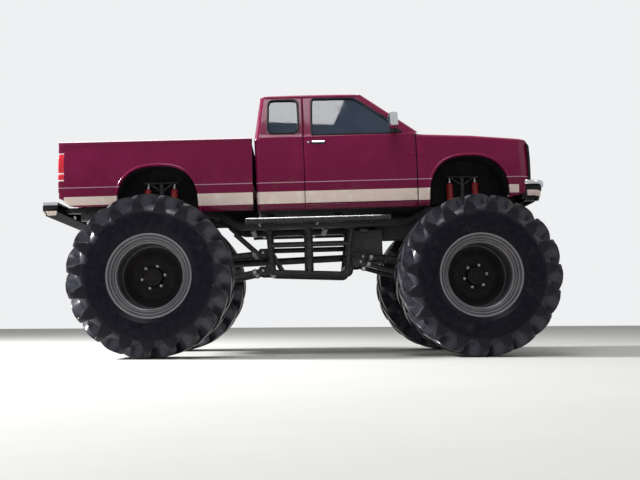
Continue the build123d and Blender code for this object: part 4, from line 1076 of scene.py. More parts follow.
def frontFenders():
    # side panel with its arch, mirrored, then the air dam and the core support
    skin = Shell()
    front = arches["front"]
    x = archColumns(1039, 2180, front)
    heights = np.concatenate([np.linspace(-40, 205, 14), [214, 222, 230], np.linspace(245, 640, 22)])
    low = archFoot(x, front, np.interp(x, *fender["foot"]))
    sidePanel(skin, x, heights, low, np.interp(x, *fender["belt"]), 6, (0, 1), rolled="rear low")
    # shoulder: from the side face over to the flat beside the hood
    along = np.concatenate([eased(1039, 2130, 34), [2140, 2155, 2168, 2176, 2181]])[:, None]
    edge = np.interp(along, *fender["belt"])
    top = np.interp(along, *fender["shoulder"])
    side = sideY(along, edge)
    turn = np.linspace(0, np.pi / 2, 10)
    flat = side - fender["bend"]
    reach = np.linspace(0, 1, 6)[1:] * (flat - fender["hoodGap"])
    curved = points(along, side - fender["bend"] * (1 - np.cos(turn)), edge + (top - edge) * np.sin(turn))
    beside = points(along, flat - reach, top + 0.02 * reach)
    skin.sheet(np.concatenate([curved, beside], 1), (0, -5, -5), (0, 1))
    archLip(skin, front, -44, 32)
    wheelWell(skin, front, 452)
    skin.mirrored()
    # dark air dam under the nose, and the core support between the fenders
    plan, section = np.array(fender["damPlan"])[:, None], np.array(fender["damSection"])
    skin.sheet(points(plan[..., 0] + section[:, 0], plan[..., 1], section[:, 1]), (-6, 0, 0), (1, 1))
    skin.block((2040, -770, 75), (2068, 770, 140), 4, 1)
    skin.block((2040, -770, 500), (2068, 770, 556), 4, 1)
    for y in (-740, 415, -415, 740):
        skin.block((2042, y - 22, 136), (2066, y + 22, 504), 4, 1)
    skin.moved(fromBody).piece("fenderSkin", "chassis", "body_paint", ["body", "trim"], ["front_fenders"])


# Hood: its half width and the height of its edge along the truck
hood = {
    "half": ([1108, 2060, 2156], [643, 643, 628]),
    "edge": ([1108, 1590, 2060, 2128, 2142, 2150, 2155, 2156], [690, 664, 620, 612, 605, 596, 586, 578]),
}


def hoodSkin():
    # edge height, a low crown, a raised middle panel and a rolled-down rim, added up
    skin = Shell()
    x = np.concatenate([eased(1108, 2128, 36), [2132, 2142, 2150, 2155, 2156]])[:, None]
    u = np.concatenate([[-1, -0.997, -0.99], np.linspace(-0.98, 0.98, 61), [0.99, 0.997, 1]])
    half = np.interp(x, *hood["half"])
    rise = 20 * smooth(np.abs(u) * half, 348, 318) * smooth(x, 1130, 1190) * smooth(x, 2120, 2050)
    crown = 7 * (1 - u ** 2) * smooth(x, 1108, 1210)
    drop = 5 * np.clip((np.abs(u) - 0.985) / 0.015, 0, 1) ** 2
    skin.sheet(points(x, half * u, np.interp(x, *hood["edge"]) + crown + rise - drop), (0, 0, -18), (0, 1))
    for side in (1, -1):
        skin.block((1098, side * 531, 674), (1125, side * 559, 686), 2, 1)
        skin.bar((1102, side * 531, 680), (1102, side * 588, 680), 5, 12, 1)
    skin.moved(fromBody).piece("hoodSkin", "hood", "body_paint", ["body", "trim"], ["hood"])


for build in (cabSides, cabSeals, cabGlass, frontFenders, hoodSkin):
    build()
for letter in ("l", "r"):
    doorPieces(letter)
print("cab, doors, fenders and hood made")


# Bed: its rail's lip as out from the side face and height, its top as half width and height, and its
# wheel house as radius and half width
bed = {
    "lip": [(-1, 660), (3, 664), (5, 671), (3, 680), (-4, 687), (-14, 690)],
    "top": [(745, 690), (712, 690), (700, 688), (692, 681), (690, 668), (690, 655)],
    "house": [(437, 690), (437, 520), (437, 505), (434, 496), (427, 490), (418, 488), (380, 488)],
    "foot": ([-2525, -2468, -2400], [190, 80, 33]),
    "floor": 262,
    "inner": 690,            # half width inside the walls
    "wallTop": 664,
}


def bedSide(letter):
    # outer panel, top rail, inner wall and wheel house of one side
    skin = Shell()
    rear = arches["rear"]
    x = archColumns(-2522, -611, rear)
    foot = np.where(x > rear["x"], -45, np.interp(x, *bed["foot"]))
    heights = np.concatenate([np.linspace(-30, 205, 14), [214, 222, 230], np.linspace(245, 650, 24)])
    sidePanel(skin, x, heights, archFoot(x, rear, foot), bed["wallTop"], 4, (0, 1), rolled="rear front low")
    # rolled rail along the top, from the outer face over to the inner wall
    along = eased(-2522, -611, 40)[:, None]
    lip, top = np.array(bed["lip"]).T, np.array(bed["top"]).T
    outer = points(along, sideY(along, bed["wallTop"]) + lip[0], lip[1])
    skin.sheet(np.concatenate([outer, points(along, top[0], top[1])], 1), (0, -1.5, -3))
    # inner wall, down to the floor or to the wheel house
    size = bed["house"][0][0]
    x = np.concatenate([[-2520], np.linspace(-1991, -1117, 40), [-612]])[:, None]
    over = rear["z"] + size * np.sqrt(np.clip(1 - ((x - rear["x"]) / size) ** 2, 0, None))
    base = np.maximum(over, bed["floor"])
    wall = points(x, bed["inner"], base + (bed["wallTop"] - base) * np.linspace(0, 1, 6))
    skin.sheet(wall, (0, 5, 0), (0, 1))
    # rear post behind the lamp, and the front edge, dark as painted shade in the gap to the cab
    skin.block((-2521, 691, 120), (-2470, 786, 662), 5, 0)
    skin.block((-640, 691, -30), (-612, 780, 662), 4, 1)
    archLip(skin, rear, 6, -43)
    wheelWell(skin, rear, 526)
    # wheel house as the bed shows it: its round top, and the flat face that closes it
    turn = np.radians(np.linspace(31, 149, 36))[:, None]
    radius, width = np.array(bed["house"]).T
    drum = points(rear["x"] - radius * np.cos(turn), width, rear["z"] + radius * np.sin(turn))
    skin.sheet(drum, (0, 4, -4), (0, 1))
    share = np.linspace(1, 0, 9)
    rise = rear["z"] + 382 * np.sin(turn) - bed["floor"]
    face = points(rear["x"] - 382 * np.cos(turn) * share, width[-1], bed["floor"] + rise * share)
    skin.sheet(face, (0, 4, 0), (0, 1))
    sideOf(skin, letter).piece("bedSkin_" + letter, "chassis", "body_paint", ["body", "trim"],
                               ["bed_side_" + letter])


# where the bed stands on the frame
bedMounts = (-2300, -1560, -1040)


def bedDeck():
    # floor and front wall; a rib is a smooth step of the distance from its middle line
    deck = Shell()
    # ribbed floor in three parts, narrow between the wheel houses
    for a, b, half in ((-2466, -1936, 688), (-1936, -1172, 486), (-1172, -640, 688)):
        y = np.linspace(-half, half, int(half / 5.5))
        rib = 9 * smooth(np.abs(((y + 45) % 90) - 45), 26, 18)
        deck.sheet(points(np.linspace(a, b, 5)[:, None], y, 256 + rib), (0, 0, -14), (0, 1))
    # front wall, with level ribs and a step at its top; its face towards the cab is dark, painted shade in
    # the gap
    z = np.concatenate([eased(240, 640, 30), [648, 658, 664, 668, 670]])
    rib = 7 * smooth(np.abs(((z - 250) % 110) - 55), 24, 16) * smooth(z, 600, 580)
    front = points(-636 - rib - 6 * smooth(z, 630, 650), np.linspace(-688, 688, 60)[:, None], z)
    deck.sheet(front, (22, 0, 0), (0, 1))
    for x in bedMounts:
        deck.block((x - 40, -480, 175), (x + 40, 480, 240), 6, 1)
    deck.moved(fromBody).piece("bedDeck", "chassis", "body_paint", ["body", "trim"], ["bed_deck"])


# Tailgate: half width, foot and top of its skin, and how far back its outer face stands
tailgate = {"half": 682, "foot": 129, "top": 682, "face": -2520}


def tailgateSkin():
    # skin pressed in inside its border, once more at the grip, and rolled in at its edges
    gate = Shell()
    half, foot, top = tailgate["half"], tailgate["foot"], tailgate["top"]
    y = eased(-half, half, 90)[:, None]
    z = eased(foot, top, 50)
    flat = smooth(np.abs(y), 585, 560) * smooth(z, 236, 262) * smooth(z, 618, 592)
    edge = np.minimum(half - np.abs(y), np.minimum(z - foot, top - z))
    grip = smooth(np.abs(y), 96, 84) * smooth(z, 606, 616) * smooth(z, 652, 642)
    x = tailgate["face"] + 11 * flat + 9 * grip + rolledIn(edge, 4)
    gate.sheet(points(x, y, z), (38, 0, 0))
    gate.block((-2518, -70, 622), (-2511, 70, 640), 3, 1)
    for side in (1, -1):
        gate.bar((-2497.5, side * 670, 150.5), (-2497.5, side * 719, 150.5), 8, 14, 1)
    gate.moved(fromBody).piece("tailgateSkin", "tailgate", "body_paint", ["body", "steel"], ["tailgate"])


# Tail lamp: its bands from low to high, red or pale
lampBands = ((302, 359, 0), (371, 562, 0), (359, 371, 1), (290, 302, 1), (562, 570, 1))


def tailLamps():
    # lens: a rounded upright bar in bands, whose outer side leans in with the body
    lamps = Shell()
    plan = roundedBox((-2524.5, 712), (-2461, 806), 12, 20)
    shrink = np.array([0, 0.97, 1, 1, 0.97, 0])
    x, y = drawnIn(plan, plan.mean(0), shrink)
    for low, high, finish in lampBands:
        z = np.array([low, low, low + 2, high - 2, high, high])
        lean = (sideY(-2490, z) - 806) * (plan[:, 1:] > 760)
        lamps.grid(points(x, y + lean * shrink + 1.5, z), closeU=True, finish=finish)
    lamps.mirrored().moved(fromBody).piece("tailLens", "chassis", "lamp_red", ["lampRed", "lampWhite"],
                                           ["tail_lamps"], 40)


def prism(shell, outline, a, b, ease, finish=0, upright=False):
    # outline carried from a to b, across the truck or upright, its eased ends drawn in to the middle
    a, b = sorted((a, b))
    outline = np.asarray(outline, float)
    middle = outline.mean(0)
    inner = 1 - ease / np.abs(outline - middle).max()
    p, q = drawnIn(outline, middle, [0, inner, 1, 1, inner, 0])
    station = np.array([a, a, a + ease, b - ease, b, b])
    shell.grid(points(p, q, station) if upright else points(p, station, q), closeU=True, finish=finish)


# Front bumper: plan of its left half, and sections as out from the plan and height, one for each finish
bumper = {
    "plan": [(2100, 805), (2228, 797), (2300, 742), (2347, 650), (2374, 530), (2389, 400), (2402, 200)],
    "sections": [
        [(-60, 180), (-14, 184), (-4, 187), (-1, 182), (0, 170), (-1, 156), (-3, 148), (-24, 144),
         (-60, 143)],
        [(-60, 143), (-27, 142), (-24, 136), (-23, 120), (-24, 104), (-27, 97), (-40, 96), (-42, 60),
         (-49, 34), (-54, 26), (-60, 26)],
        [(-39, 95), (-35, 93), (-33, 84), (-35, 60), (-42, 34), (-46, 34), (-40, 60)],
    ],
    # rear bumper's bars: section, its corner radius, half length and finish
    "rearBars": [
        ([(-2676, 58), (-2675, 88.5), (-2534, 88.5), (-2534, 76), (-2662, 76), (-2662, 58)], 3, 780, 0),
        ([(-2681, 2), (-2679, 58), (-2655, 58), (-2655, 2)], 5, 784, 1),
        ([(-2652, -48), (-2680, 2), (-2662, 2), (-2640, -44)], 3, 778, 2),
        ([(-2650, -49), (-2655, -40), (-2560, 0), (-2540, 2), (-2540, -6)], 3, 778, 1),
    ],
    # and its end plates: outline, how far they stand out, and finish
    "rearEnds": [
        ([(-2674, 2), (-2674, 58), (-2534, 58), (-2534, 20)], 0, 1),
        ([(-2675, 58), (-2675, 88), (-2534, 88), (-2534, 58)], 0.9, 0),
        ([(-2628, -44), (-2652, 2), (-2540, 2), (-2546, -40)], 0, 2),
    ],
}


def bumperFront():
    # sections carried round the plan, each set out along the plan's own outward direction
    shell = Shell()
    plan = rounded(bothWays(bumper["plan"]), 60, 25)
    plan = plan[(plan[:, 0] > 2104) | (np.abs(plan[:, 1]) > 780)]
    plan = plan[np.argsort(np.arctan2(plan[:, 1], plan[:, 0] - 2050))]
    ahead = np.gradient(plan, axis=0)
    out = np.stack([ahead[:, 1], -ahead[:, 0]], 1) / np.linalg.norm(ahead, axis=1, keepdims=True)
    for finish, section in enumerate(bumper["sections"]):
        reach, height = np.array(section, float).T
        flat = plan[:, None] + (reach[:, None] - 2) * out[:, None]
        shell.grid(capped(points(flat[..., 0], flat[..., 1], height)), closeV=True, finish=finish)
    shell.moved(fromBody).piece("bumperFront", "chassis", "chrome", ["chrome", "trim", "tan"],
                                ["bumper_front"], 32)


def bumperRear():
    # straight bars across the truck, with end plates and ribbed pads
    shell = Shell()
    for section, radius, half, finish in bumper["rearBars"]:
        prism(shell, rounded(section, radius, 40), -half, half, 5, finish)
    for side in (1, -1):
        for plate, proud, finish in bumper["rearEnds"]:
            prism(shell, rounded(plate, 4, 40), side * (779 - proud), side * (787 + proud), 2, finish)
        # ribbed step pad on each side of the hitch hole
        for x in -2662 + 20 * np.arange(6):
            prism(shell, roundedBox((x, 87), (x + 12, 88.9), 1), side * 120, side * 740, 1, 1)
    shell.turned([(14, 80), (24, 80), (24, 88.9), (13.2, 88.9)], (-2600, 0, 0), (0, 0, 1), 36, 1, closed=True)
    shell.moved(fromBody).piece("bumperRear", "chassis", "chrome", ["chrome", "trim", "tan"],
                                ["bumper_rear"], 32)


# Nose: header and sill as low, high and finish; the surround's plan and lean; posts and lamps as half widths
nose = {
    "strips": ((526, 572, 0), (231, 300, 1)),
    "surround": [(2160, 772), (2184, 752), (2192, 730), (2192, 700), (2176, 700), (2172, 742), (2156, 762)],
    "surroundLean": [(-6, 190), (0, 196), (2, 300), (2, 420), (-4, 540), (-14, 560)],
    "posts": ((481, 504, 2164), (611, 621, 2164), (728, 758, 2134)),
    "lamps": ((505.5, 609.5), (622.5, 726.5)),
    "lens": [(0, 2124), (0.9, 2124), (0.97, 2125), (1, 2128), (1, 2160), (0.96, 2165), (0.8, 2168),
             (0.5, 2169), (0, 2169)],
    "bars": 5,
}


def noseFace():
    # strips, surround, posts and grille bars across the nose
    face = Shell()
    # header over the grille and sill under it, drawn back towards the sides by the sixth power
    y = np.linspace(-1, 1, 61)[:, None]
    for low, high, finish in nose["strips"]:
        z = eased(low, high, 6)
        roll = 4 * (1 - np.clip((z - low) * (high - z) / 160, 0, 1)) ** 2
        x = 2166 + 0.035 * (z - 230) - 60 * np.abs(y) ** 6 - roll
        face.sheet(points(x, 752 * y, z), (-14, 0, 0), (finish, 1))
    plan, (lean, z) = np.array(nose["surround"], float), np.array(nose["surroundLean"], float).T
    for side in (1, -1):
        # dark surround that stands ahead of the fenders
        p = points(plan[:, :1] + lean, side * plan[:, 1:], z)
        face.grid(capped(p, 1), closeU=True, finish=1)
        for a, b, front in nose["posts"]:
            face.block((2118, side * a, 298), (front, side * b, 528), 3, 1)
        face.block((2118, side * 505, 298), (2158, side * 727, 330), 3, 1)
        face.block((2118, side * 505, 500), (2166, side * 727, 528), 3, 1)
    # grille bars with a bright edge
    for index in range(nose["bars"]):
        z = 300 + (index + 1) * 225 / (nose["bars"] + 1)
        face.block((2124, -480, z - 6), (2160, 480, z + 6), 3, 1)
        face.block((2158, -480, z - 3), (2163, 480, z + 3), 1.5, 2)
    for y in 106 * np.arange(-4, 5):
        face.block((2122, y - 3, 300), (2150, y + 3, 526), 1.5, 1)
    face.moved(fromBody).piece("noseFace", "chassis", "trim", ["body", "trim", "chrome"], ["grille"], 32)


def headLamps():
    # lens: its outline drawn in by shares as it comes forward
    lamps = Shell()
    share, depth = np.array(nose["lens"], float).T
    for side in (1, -1):
        for a, b in nose["lamps"]:
            rim = roundedBox((side * a, 331), (side * b, 499), 10, 20)
            y, z = drawnIn(rim, (side * (a + b) / 2, 415), share)
            lamps.grid(points(depth, y, z), closeU=True)
    lamps.moved(fromBody).piece("headLens", "chassis", "lamp_clear", ["lampClear"], ["headlamps"], 40)


def rail(shell, stations, half, depth, y):
    # box rail: a rounded rectangle at each station along x, its top at the station's height
    corner = np.radians(np.arange(16) * 22.5 + 11.25)[:, None]
    x, z = stations.T
    radius = 8
    across = np.sign(np.cos(corner)) * (half - radius) + radius * np.cos(corner)
    up = np.sign(np.sin(corner)) * (depth / 2 - radius) + radius * np.sin(corner)
    shell.grid(capped(points(x, y + across, z - depth / 2 + up), 1), closeU=True)


def bentLine(corners, radius=70):
    # straight runs with a quadratic curve at each inner corner
    corners = np.asarray(corners, float)
    share = np.linspace(0, 1, 6)[:, None]
    line = [corners[:1]]
    for before, corner, after in zip(corners, corners[1:], corners[2:]):
        line.append(curve(toward(corner, before, radius), corner, toward(corner, after, radius), share))
    return np.concatenate(line + [corners[-1:]])


# tops of the shock absorbers: along the truck, and half width
shockTowers = {"front": (1538, 500), "rear": (-1539, 600)}


def frameRails():
    # a box rail along a bent line with its irons, mounts and towers, mirrored, and cross tubes
    rails = Shell()
    top = bentLine([(-2400, 80), (-1000, 80), (-800, -110), (1000, -110), (1180, 0), (2080, 0)])
    rail(rails, top, 35, np.interp(top[:, 0], [-1000, -840, 1040, 1180], [140, 88, 88, 140]), 370)
    # bumper irons, then the pads and rubber mounts that carry the bed, cab and core support
    rails.block((-2640, 345, 20), (-2388, 395, 78.5), 5)
    rails.block((1996, 345, -60), (2186, 395, 58), 6)
    rails.block((2180, 345, 28), (2366, 395, 58), 5)
    for x in bedMounts:
        rails.block((x - 45, 337, 76), (x + 45, 403, 174), 8, 1)
    for x in (-450, 250, 800):
        rails.bar((x, 370, -112), (x, 370, -52), 40, 20, 1)
    rails.block((2035, 337, -3), (2075, 403, 74), 6, 1)
    for end, z in (("front", -70), ("rear", 10)):
        x, y = shockTowers[end]
        rails.bar((x, 400, z), (x, y + 22, z), 24)
        rails.bar((x, y, z - 36), (x, y, 270), 24)
        rails.block((x - 167, y - 30, 269), (x + 167, y + 30, 284), 4)
        for reach in (-110, 110):
            rails.bar((x, y, 190), (x + reach, y, 268), 12, 12)
    rails.mirrored()
    for x, z in ((-2330, 10), (-1060, 10), (-650, -180), (120, -180), (1960, -70)):
        rails.bar((x, -340, z), (x, 340, z), 32, 20)
    rails.moved(fromBody).piece("frameRails", "chassis", "chassis_paint", ["chassis", "trim"], ["frame"])


# Links: inner pin and its bracket's root in the body's frame, and the outer pin ahead of and above its axle
links = [
    {"pin": (-545, 320, -620), "root": -430, "axle": "rearAxle", "outer": (70, -105)},
    {"pin": (-545, 250, -430), "root": -440, "axle": "rearAxle", "outer": (60, 175)},
    {"pin": (470, 320, -560), "root": 325, "axle": "frontAxle", "outer": (-70, -105)},
    {"pin": (500, 250, -500), "root": 335, "axle": "frontAxle", "outer": (-60, 175)},
]


def pinHead(radius, height, chamfer=3, low=0):
    # section of a bolt's head
    top = low + height
    return [(0, low), (radius, low), (radius, top - 2), (radius - chamfer, top), (0, top)]


def plain(radius, low, high):
    # section of a plain round bar
    return [(0, low), (radius, low), (radius, high), (0, high)]


def clevis(shell, outline, y):
    # a pair of plates, each side of an eye at y
    for plate in (y - 38.3, y + 28.3):
        prism(shell, outline, plate, plate + 10, 2)


def trussTubes():
    # frame of tubes hung below the rails, with the brackets of the links, mirrored
    tubes = Shell()
    for top, foot, z, size in ((-475, -450, -645, 30), (-62, -62, -666, 42), (385, 325, -686, 32)):
        tubes.bar((top, 370, -190), (foot, 370, z), size, 20)
        tubes.block((top - 55, 337, -208), (top + 55, 403, -194), 4)
    tubes.bar((-472, 372, -362), (372, 372, -362), 28, 18)
    tubes.bar((-880, 352, -170), (-590, 352, -440), 18, 14)
    foot = bentLine([(-486, 370, -560), (-470, 370, -643), (355, 370, -688), (362, 370, -610)], 45)
    tubes.path(foot, 30, 20)
    tubes.bar((-468, 370, -400), (-330, 370, -648), 20)
    tubes.bar((352, 370, -500), (352, 290, -500), 22)
    for link in links:
        x, y, z = link["pin"]
        clevis(tubes, roundedBox((link["root"], z - 42), (x + math.copysign(42, x), z + 42), 26, 60), y)
        for side in (y - 47, y + 38):
            tubes.turned(pinHead(15, 10), (x, side, z), (0, 1, 0), 6, 1)
    tubes.mirrored()
    for x, z in ((-450, -645), (-464, -425), (338, -600)):
        tubes.bar((x, -370, z), (x, 370, z), 28, 20)
    tubes.moved(fromBody).piece("trussTubes", "chassis", "chassis_paint", ["chassis", "steel"], ["truss"])


def bodyPoint(x, y, z):
    # a point of the body's frame in world millimetres
    return fromBody(np.array([x, y, z], float)) * 1000


def linkRods():
    # a rod from each inner pin in the body's frame to its outer pin at the axle, mirrored
    rods = Shell()
    for link in links:
        ahead, up = link["outer"]
        a = bodyPoint(*link["pin"])
        b = np.array([stance[link["axle"]] + ahead, link["pin"][1], stance["axleHeight"] + up])
        rods.bar(a, b, 26, 20)
        # at either end: the eye, its bush, and the lock nut on the rod
        for eye, run in ((a, heading(a, b)), (b, heading(b, a))):
            rods.turned(bothWays([(14, -28), (36, -28), (40, -24)]), eye, (0, 1, 0), 28, 0, closed=True)
            rods.turned(plain(24, -27.5, 27.5), eye, (0, 1, 0), 20, 1)
            rods.bar(eye + run * 70, eye + run * 108, 33, 6, 1)
    rods.mirrored()
    rods.moved(fromWorld).piece("linkRods", "chassis", "chassis_paint", ["chassis", "steel"], ["links"])


# Axle: sections of its parts as radius and distance along the part's own axis
axleParts = {
    "banjo": [(0, -90), (150, -92), (188, -82), (210, -55), (215, -20), (215, 30), (212, 62), (214, 70),
              (214, 84), (205, 90), (163, 92), (160, 120), (154, 160), (140, 200), (118, 230), (96, 239),
              (0, 240)],
    "tube": bothWays([(0, -660), (73, -660), (75, -656), (75, -330), (80, -290), (90, -240), (104, -180)]),
    "nose": [(0, 0), (72, 0), (72, 170), (66, 185), (60, 205), (60, 226), (52, 228), (52, 250), (0, 250)],
    "spindle": [(0, 655), (108, 655), (110, 658), (110, 688), (108, 690), (60, 690), (50, 700), (50, 906),
                (0, 906)],
    "yokePad": [(0, 0), (57, 0), (60, 3), (60, 23), (57, 26), (0, 26)],
    "saddle": bothWays([(34.5, -25), (46, -25), (48, -22)]),
    "kingpin": bothWays([(0, -110), (53, -110), (56, -107), (56, -60), (60, -50)]),
    "hubSpindle": [(0, 30), (74, 40), (76, 56), (62, 66), (50, 80), (50, 146), (0, 146)],
}


def axlePart(end):
    # turned sections round the axle's middle, with clevises, shock pads and its own end fittings
    axle = Shell()
    # banjo and carrier turned about the upright axis, tube and flares about the axle's
    axle.turned(axleParts["banjo"], (0, 0, 0), (0, 0, 1), 56)
    axle.turned(axleParts["tube"], (0, 0, 0), (0, 1, 0), 32)
    axle.turned(axleParts["nose"], (0, 0, 160), (1, 0, 0), 30)
    for angle in 2 * np.pi * np.arange(14) / 14:
        place = (186 * math.cos(angle), 186 * math.sin(angle), 0)
        axle.turned(pinHead(11, 11, 2, 88), place, (0, 0, 1), 6, 1)
    # clevises of the links: the outer pair hangs under the tube, the inner pair stands on it
    for y in (320, -320, 250, -250):
        x, z = (70, -105) if abs(y) > 300 else (60, 175)
        clevis(axle, roundedBox((x - 38, min(0, z - 40)), (x + 38, max(0, z + 40)), 24, 60), y)
        for side in (y - 47, y + 38):
            axle.turned(pinHead(14, 10), (x, side, z), (0, 1, 0), 6, 1)
    for y in (shockTowers[end][1], -shockTowers[end][1]):
        axle.block((-172, y - 35, 20), (172, y + 35, 45), 6)
        axle.block((-60, y - 30, -60), (60, y + 30, 24), 8)
    way = (1, 1, 1)
    if end == "rear":
        for side in (1, -1):
            axle.turned(axleParts["spindle"], (0, 0, 0), (0, side, 0), 36)
    else:
        # the front axle is drawn the same way round and turned about; its yokes and the ram's saddles
        way = (-1, -1, 1)
        for side in (1, -1):
            axle.block((-60, side * 655, -136), (60, side * 686, 136), 10)
            for face in (110.3, -136.3):
                axle.block((-60, side * 680, face), (60, side * 760, face + 26), 6)
                axle.turned(axleParts["yokePad"], (0, side * 760, face), (0, 0, 1), 28)
        for saddle in (-150, 110):
            axle.block((-150, saddle - 25, -190), (-60, saddle + 25, -50), 6)
            axle.turned(axleParts["saddle"], (-180, saddle, -140), (0, 1, 0), 28, 0, closed=True)
    axle.moved(lambda p: fromWorld(p * way + (stance[end + "Axle"], 0, stance["axleHeight"])))
    axle.piece("axle_" + end + "Housing", "chassis", "axle_paint", ["axle", "steel"], ["axle_" + end])


# Steering: plan of a knuckle's arm, and the left one's second arm for the ram; the ram's section
steering = {
    "arm": [(20, -50), (-30, -50), (-190, -30), (-232, -14), (-232, 14), (-190, 30), (-30, 50), (30, 50)],
    "ramArm": [(170, 30), (212, 14), (212, -14), (170, -30)],
    "rodEye": bothWays([(15, -20), (27, -20), (30, -17)]),
    "ram": [(0, -330), (30, -330), (34, -326), (34, 262), (32, 264), (34, 266), (34, 276), (30, 280),
            (18.4, 280), (18.4, 90), (0, 90)],
    "ramEye": [(0, 60.6), (26, 60.6), (28, 63), (28, 91), (26, 94), (0, 94)],
    "pivot": 760,            # half width at the kingpins
}


def knuckles():
    # kingpin and spindle turned at the pivot, with a flat arm below them
    for letter, side in (("l", 1), ("r", -1)):
        knuckle = Shell()
        knuckle.turned(axleParts["kingpin"], (0, 0, 0), (0, 0, 1), 32)
        knuckle.turned(axleParts["hubSpindle"], (0, 0, 0), (0, side, 0), 32)
        arm = steering["arm"] + (steering["ramArm"] if side > 0 else [])
        prism(knuckle, rounded(arm, 12, 60), -110, -80, 4, 0, upright=True)
        knuckle.bar((-200, 0, -170), (-200, 0, -108), 14.5, 14, 1)
        place = (stance["frontAxle"], side * steering["pivot"], stance["axleHeight"])
        knuckle.moved(lambda p: fromWorld(p + place))
        knuckle.piece("knuckleArm_" + letter, "knuckle_" + letter, "axle_paint", ["axle", "steel"],
                      ["knuckle_" + letter])


def steeringRods():
    # tie rod behind the front axle, and the ram with its rod ahead of it
    tie = Shell()
    x, z = stance["frontAxle"] - 200, stance["axleHeight"] - 144
    tie.bar((x, -732, z), (x, 732, z), 18, 18)
    for y in (steering["pivot"], -steering["pivot"]):
        tie.turned(steering["rodEye"], (x, y, z), (0, 0, 1), 24, 0, closed=True)
    tie.moved(fromWorld).piece("tieRod", "tie_rod", "chassis_paint", ["chassis"], ["tie_rod"])
    ram = Shell()
    x, z = stance["frontAxle"] + 180, stance["axleHeight"] - 140
    ram.turned(steering["ram"], (x, 0, z), (0, 1, 0), 32)
    for y in (-300, 236):
        ram.bar((x, y, z + 26), (x, y, z + 52), 9, 12, 1)
    ram.moved(fromWorld).piece("ramBody", "chassis", "axle_paint", ["axle", "steel"], ["steer_ram"])
    rod = Shell()
    rod.turned(plain(18, 155, 680), (x, 0, z), (0, 1, 0), 28)
    rod.block((x - 17.5, 670, z - 18), (x + 17.5, 704, z + 94), 6)
    rod.block((x - 17.5, 700, z + 60.8), (x + 17.5, 745, z + 94), 5)
    rod.turned(steering["ramEye"], (x, steering["pivot"], z), (0, 0, 1), 28)
    rod.moved(fromWorld).piece("ramRod", "ram_rod", "bright_steel", ["steel"], ["ram_rod"])


def shocks():
    # a pair at each corner, from the axle's pad to the tower: body, rod, head and lower eye along one line
    bodies, rods = Shell(), Shell()
    for end, (tower, y) in shockTowers.items():
        for step in (-132, 132):
            foot = np.array([stance[end + "Axle"] + step, y, stance["axleHeight"] + 45.9])
            head = bodyPoint(tower + step, y, 269.1)
            length = np.linalg.norm(head - foot)
            run = heading(foot, head)
            bodies.turned([(0, 360), (30, 360), (34, 364), (34, length - 62), (31, length - 58),
                           (22, length - 50), (0, length - 50)], foot, run, 24)
            rods.turned(plain(15, 24, 359.6), foot, run, 16)
            rods.turned([(0, length - 49.6), (19, length - 49.6), (20, length - 44), (20, length - 30),
                         (12, length - 26), (12, length - 2), (0, length - 2)], foot, run, 16)
            rods.turned(bothWays([(0, -19), (24, -19), (26, -16)]), foot + run * 26, (0, 1, 0), 20)
    bodies.mirrored().moved(fromWorld).piece("shockBodies", "chassis", "shock_paint", ["shock"],
                                             ["shock_bodies"])
    rods.mirrored().moved(fromWorld).piece("shockRods", "chassis", "bright_steel", ["steel"], ["shock_rods"])


def driveLine():
    # a shaft to each axle: stepped tube, crossed pins at both joints, and a flange at either end
    shafts = Shell()
    for case, axle, way in ((720, "frontAxle", -1), (400, "rearAxle", 1)):
        near = bodyPoint(case - way * 1.8, 0, -490)
        far = np.array([stance[axle] + way * 250.3, 0, stance["axleHeight"] + 160])
        length = np.linalg.norm(far - near)
        run = heading(near, far)
        shafts.turned([(0, 90), (35, 90), (37, 96), (37, length - 160), (31, length - 150), (31, length - 90),
                       (0, length - 90)], near, run, 28)
        for at in (48, length - 48):
            spot = near + run * at
            for pin in ((0, 50, 0), (0, 0, 50)):
                shafts.bar(spot - pin, spot + pin, 16, 16, 1)
            shafts.bar(spot - run * 40, spot + run * 40, 30, 18)
        shafts.bar(near + (way * 2, 0, 0), near - (way * 16, 0, 0), 55, 24)
        shafts.bar(far + (way * 16, 0, 0), far, 55, 24)
    shafts.moved(fromWorld).piece("driveShafts", "chassis", "chassis_paint", ["chassis", "steel"],
                                  ["driveshafts"])


def sideSteps():
    # a tube along each sill on three brackets
    steps = Shell()
    step = bentLine([(-688, 836, -160), (-640, 842, -157), (690, 842, -157), (738, 836, -160)], 30)
    steps.path(step, 31, 22)
    # a bright steel strip along the top outer edge, a painted highlight line on the tube, with its row of
    # studs as bright glints
    steps.bar((-680, 866, -138), (648, 866, -138), 4, 8, 1)
    for x in -632 + 133.0 * np.arange(10):
        steps.turned([(0, 9), (7, 8), (12, 5), (14, 0), (14, -6)], (x, 862, -140), (0, 0.75, 0.66), 16, 1)
    for x in (-560, 20, 600):
        steps.bar((x, 400, -157), (x, 822, -157), 24, 18)
    steps.mirrored()
    steps.moved(fromBody).piece("sideSteps", "chassis", "bright_steel", ["gloss", "steel"], ["side_steps"])


# Seat: cushion, backrest and head pad, each as low and high corner, backward tilt and crown
seatPads = (
    ((-20, 170, 60), (470, 620, 235), 0.05, 22),
    ((-130, 165, 190), (0, 625, 700), -0.16, 20),
    ((-150, 300, 705), (-80, 490, 850), -0.1, 12),
)


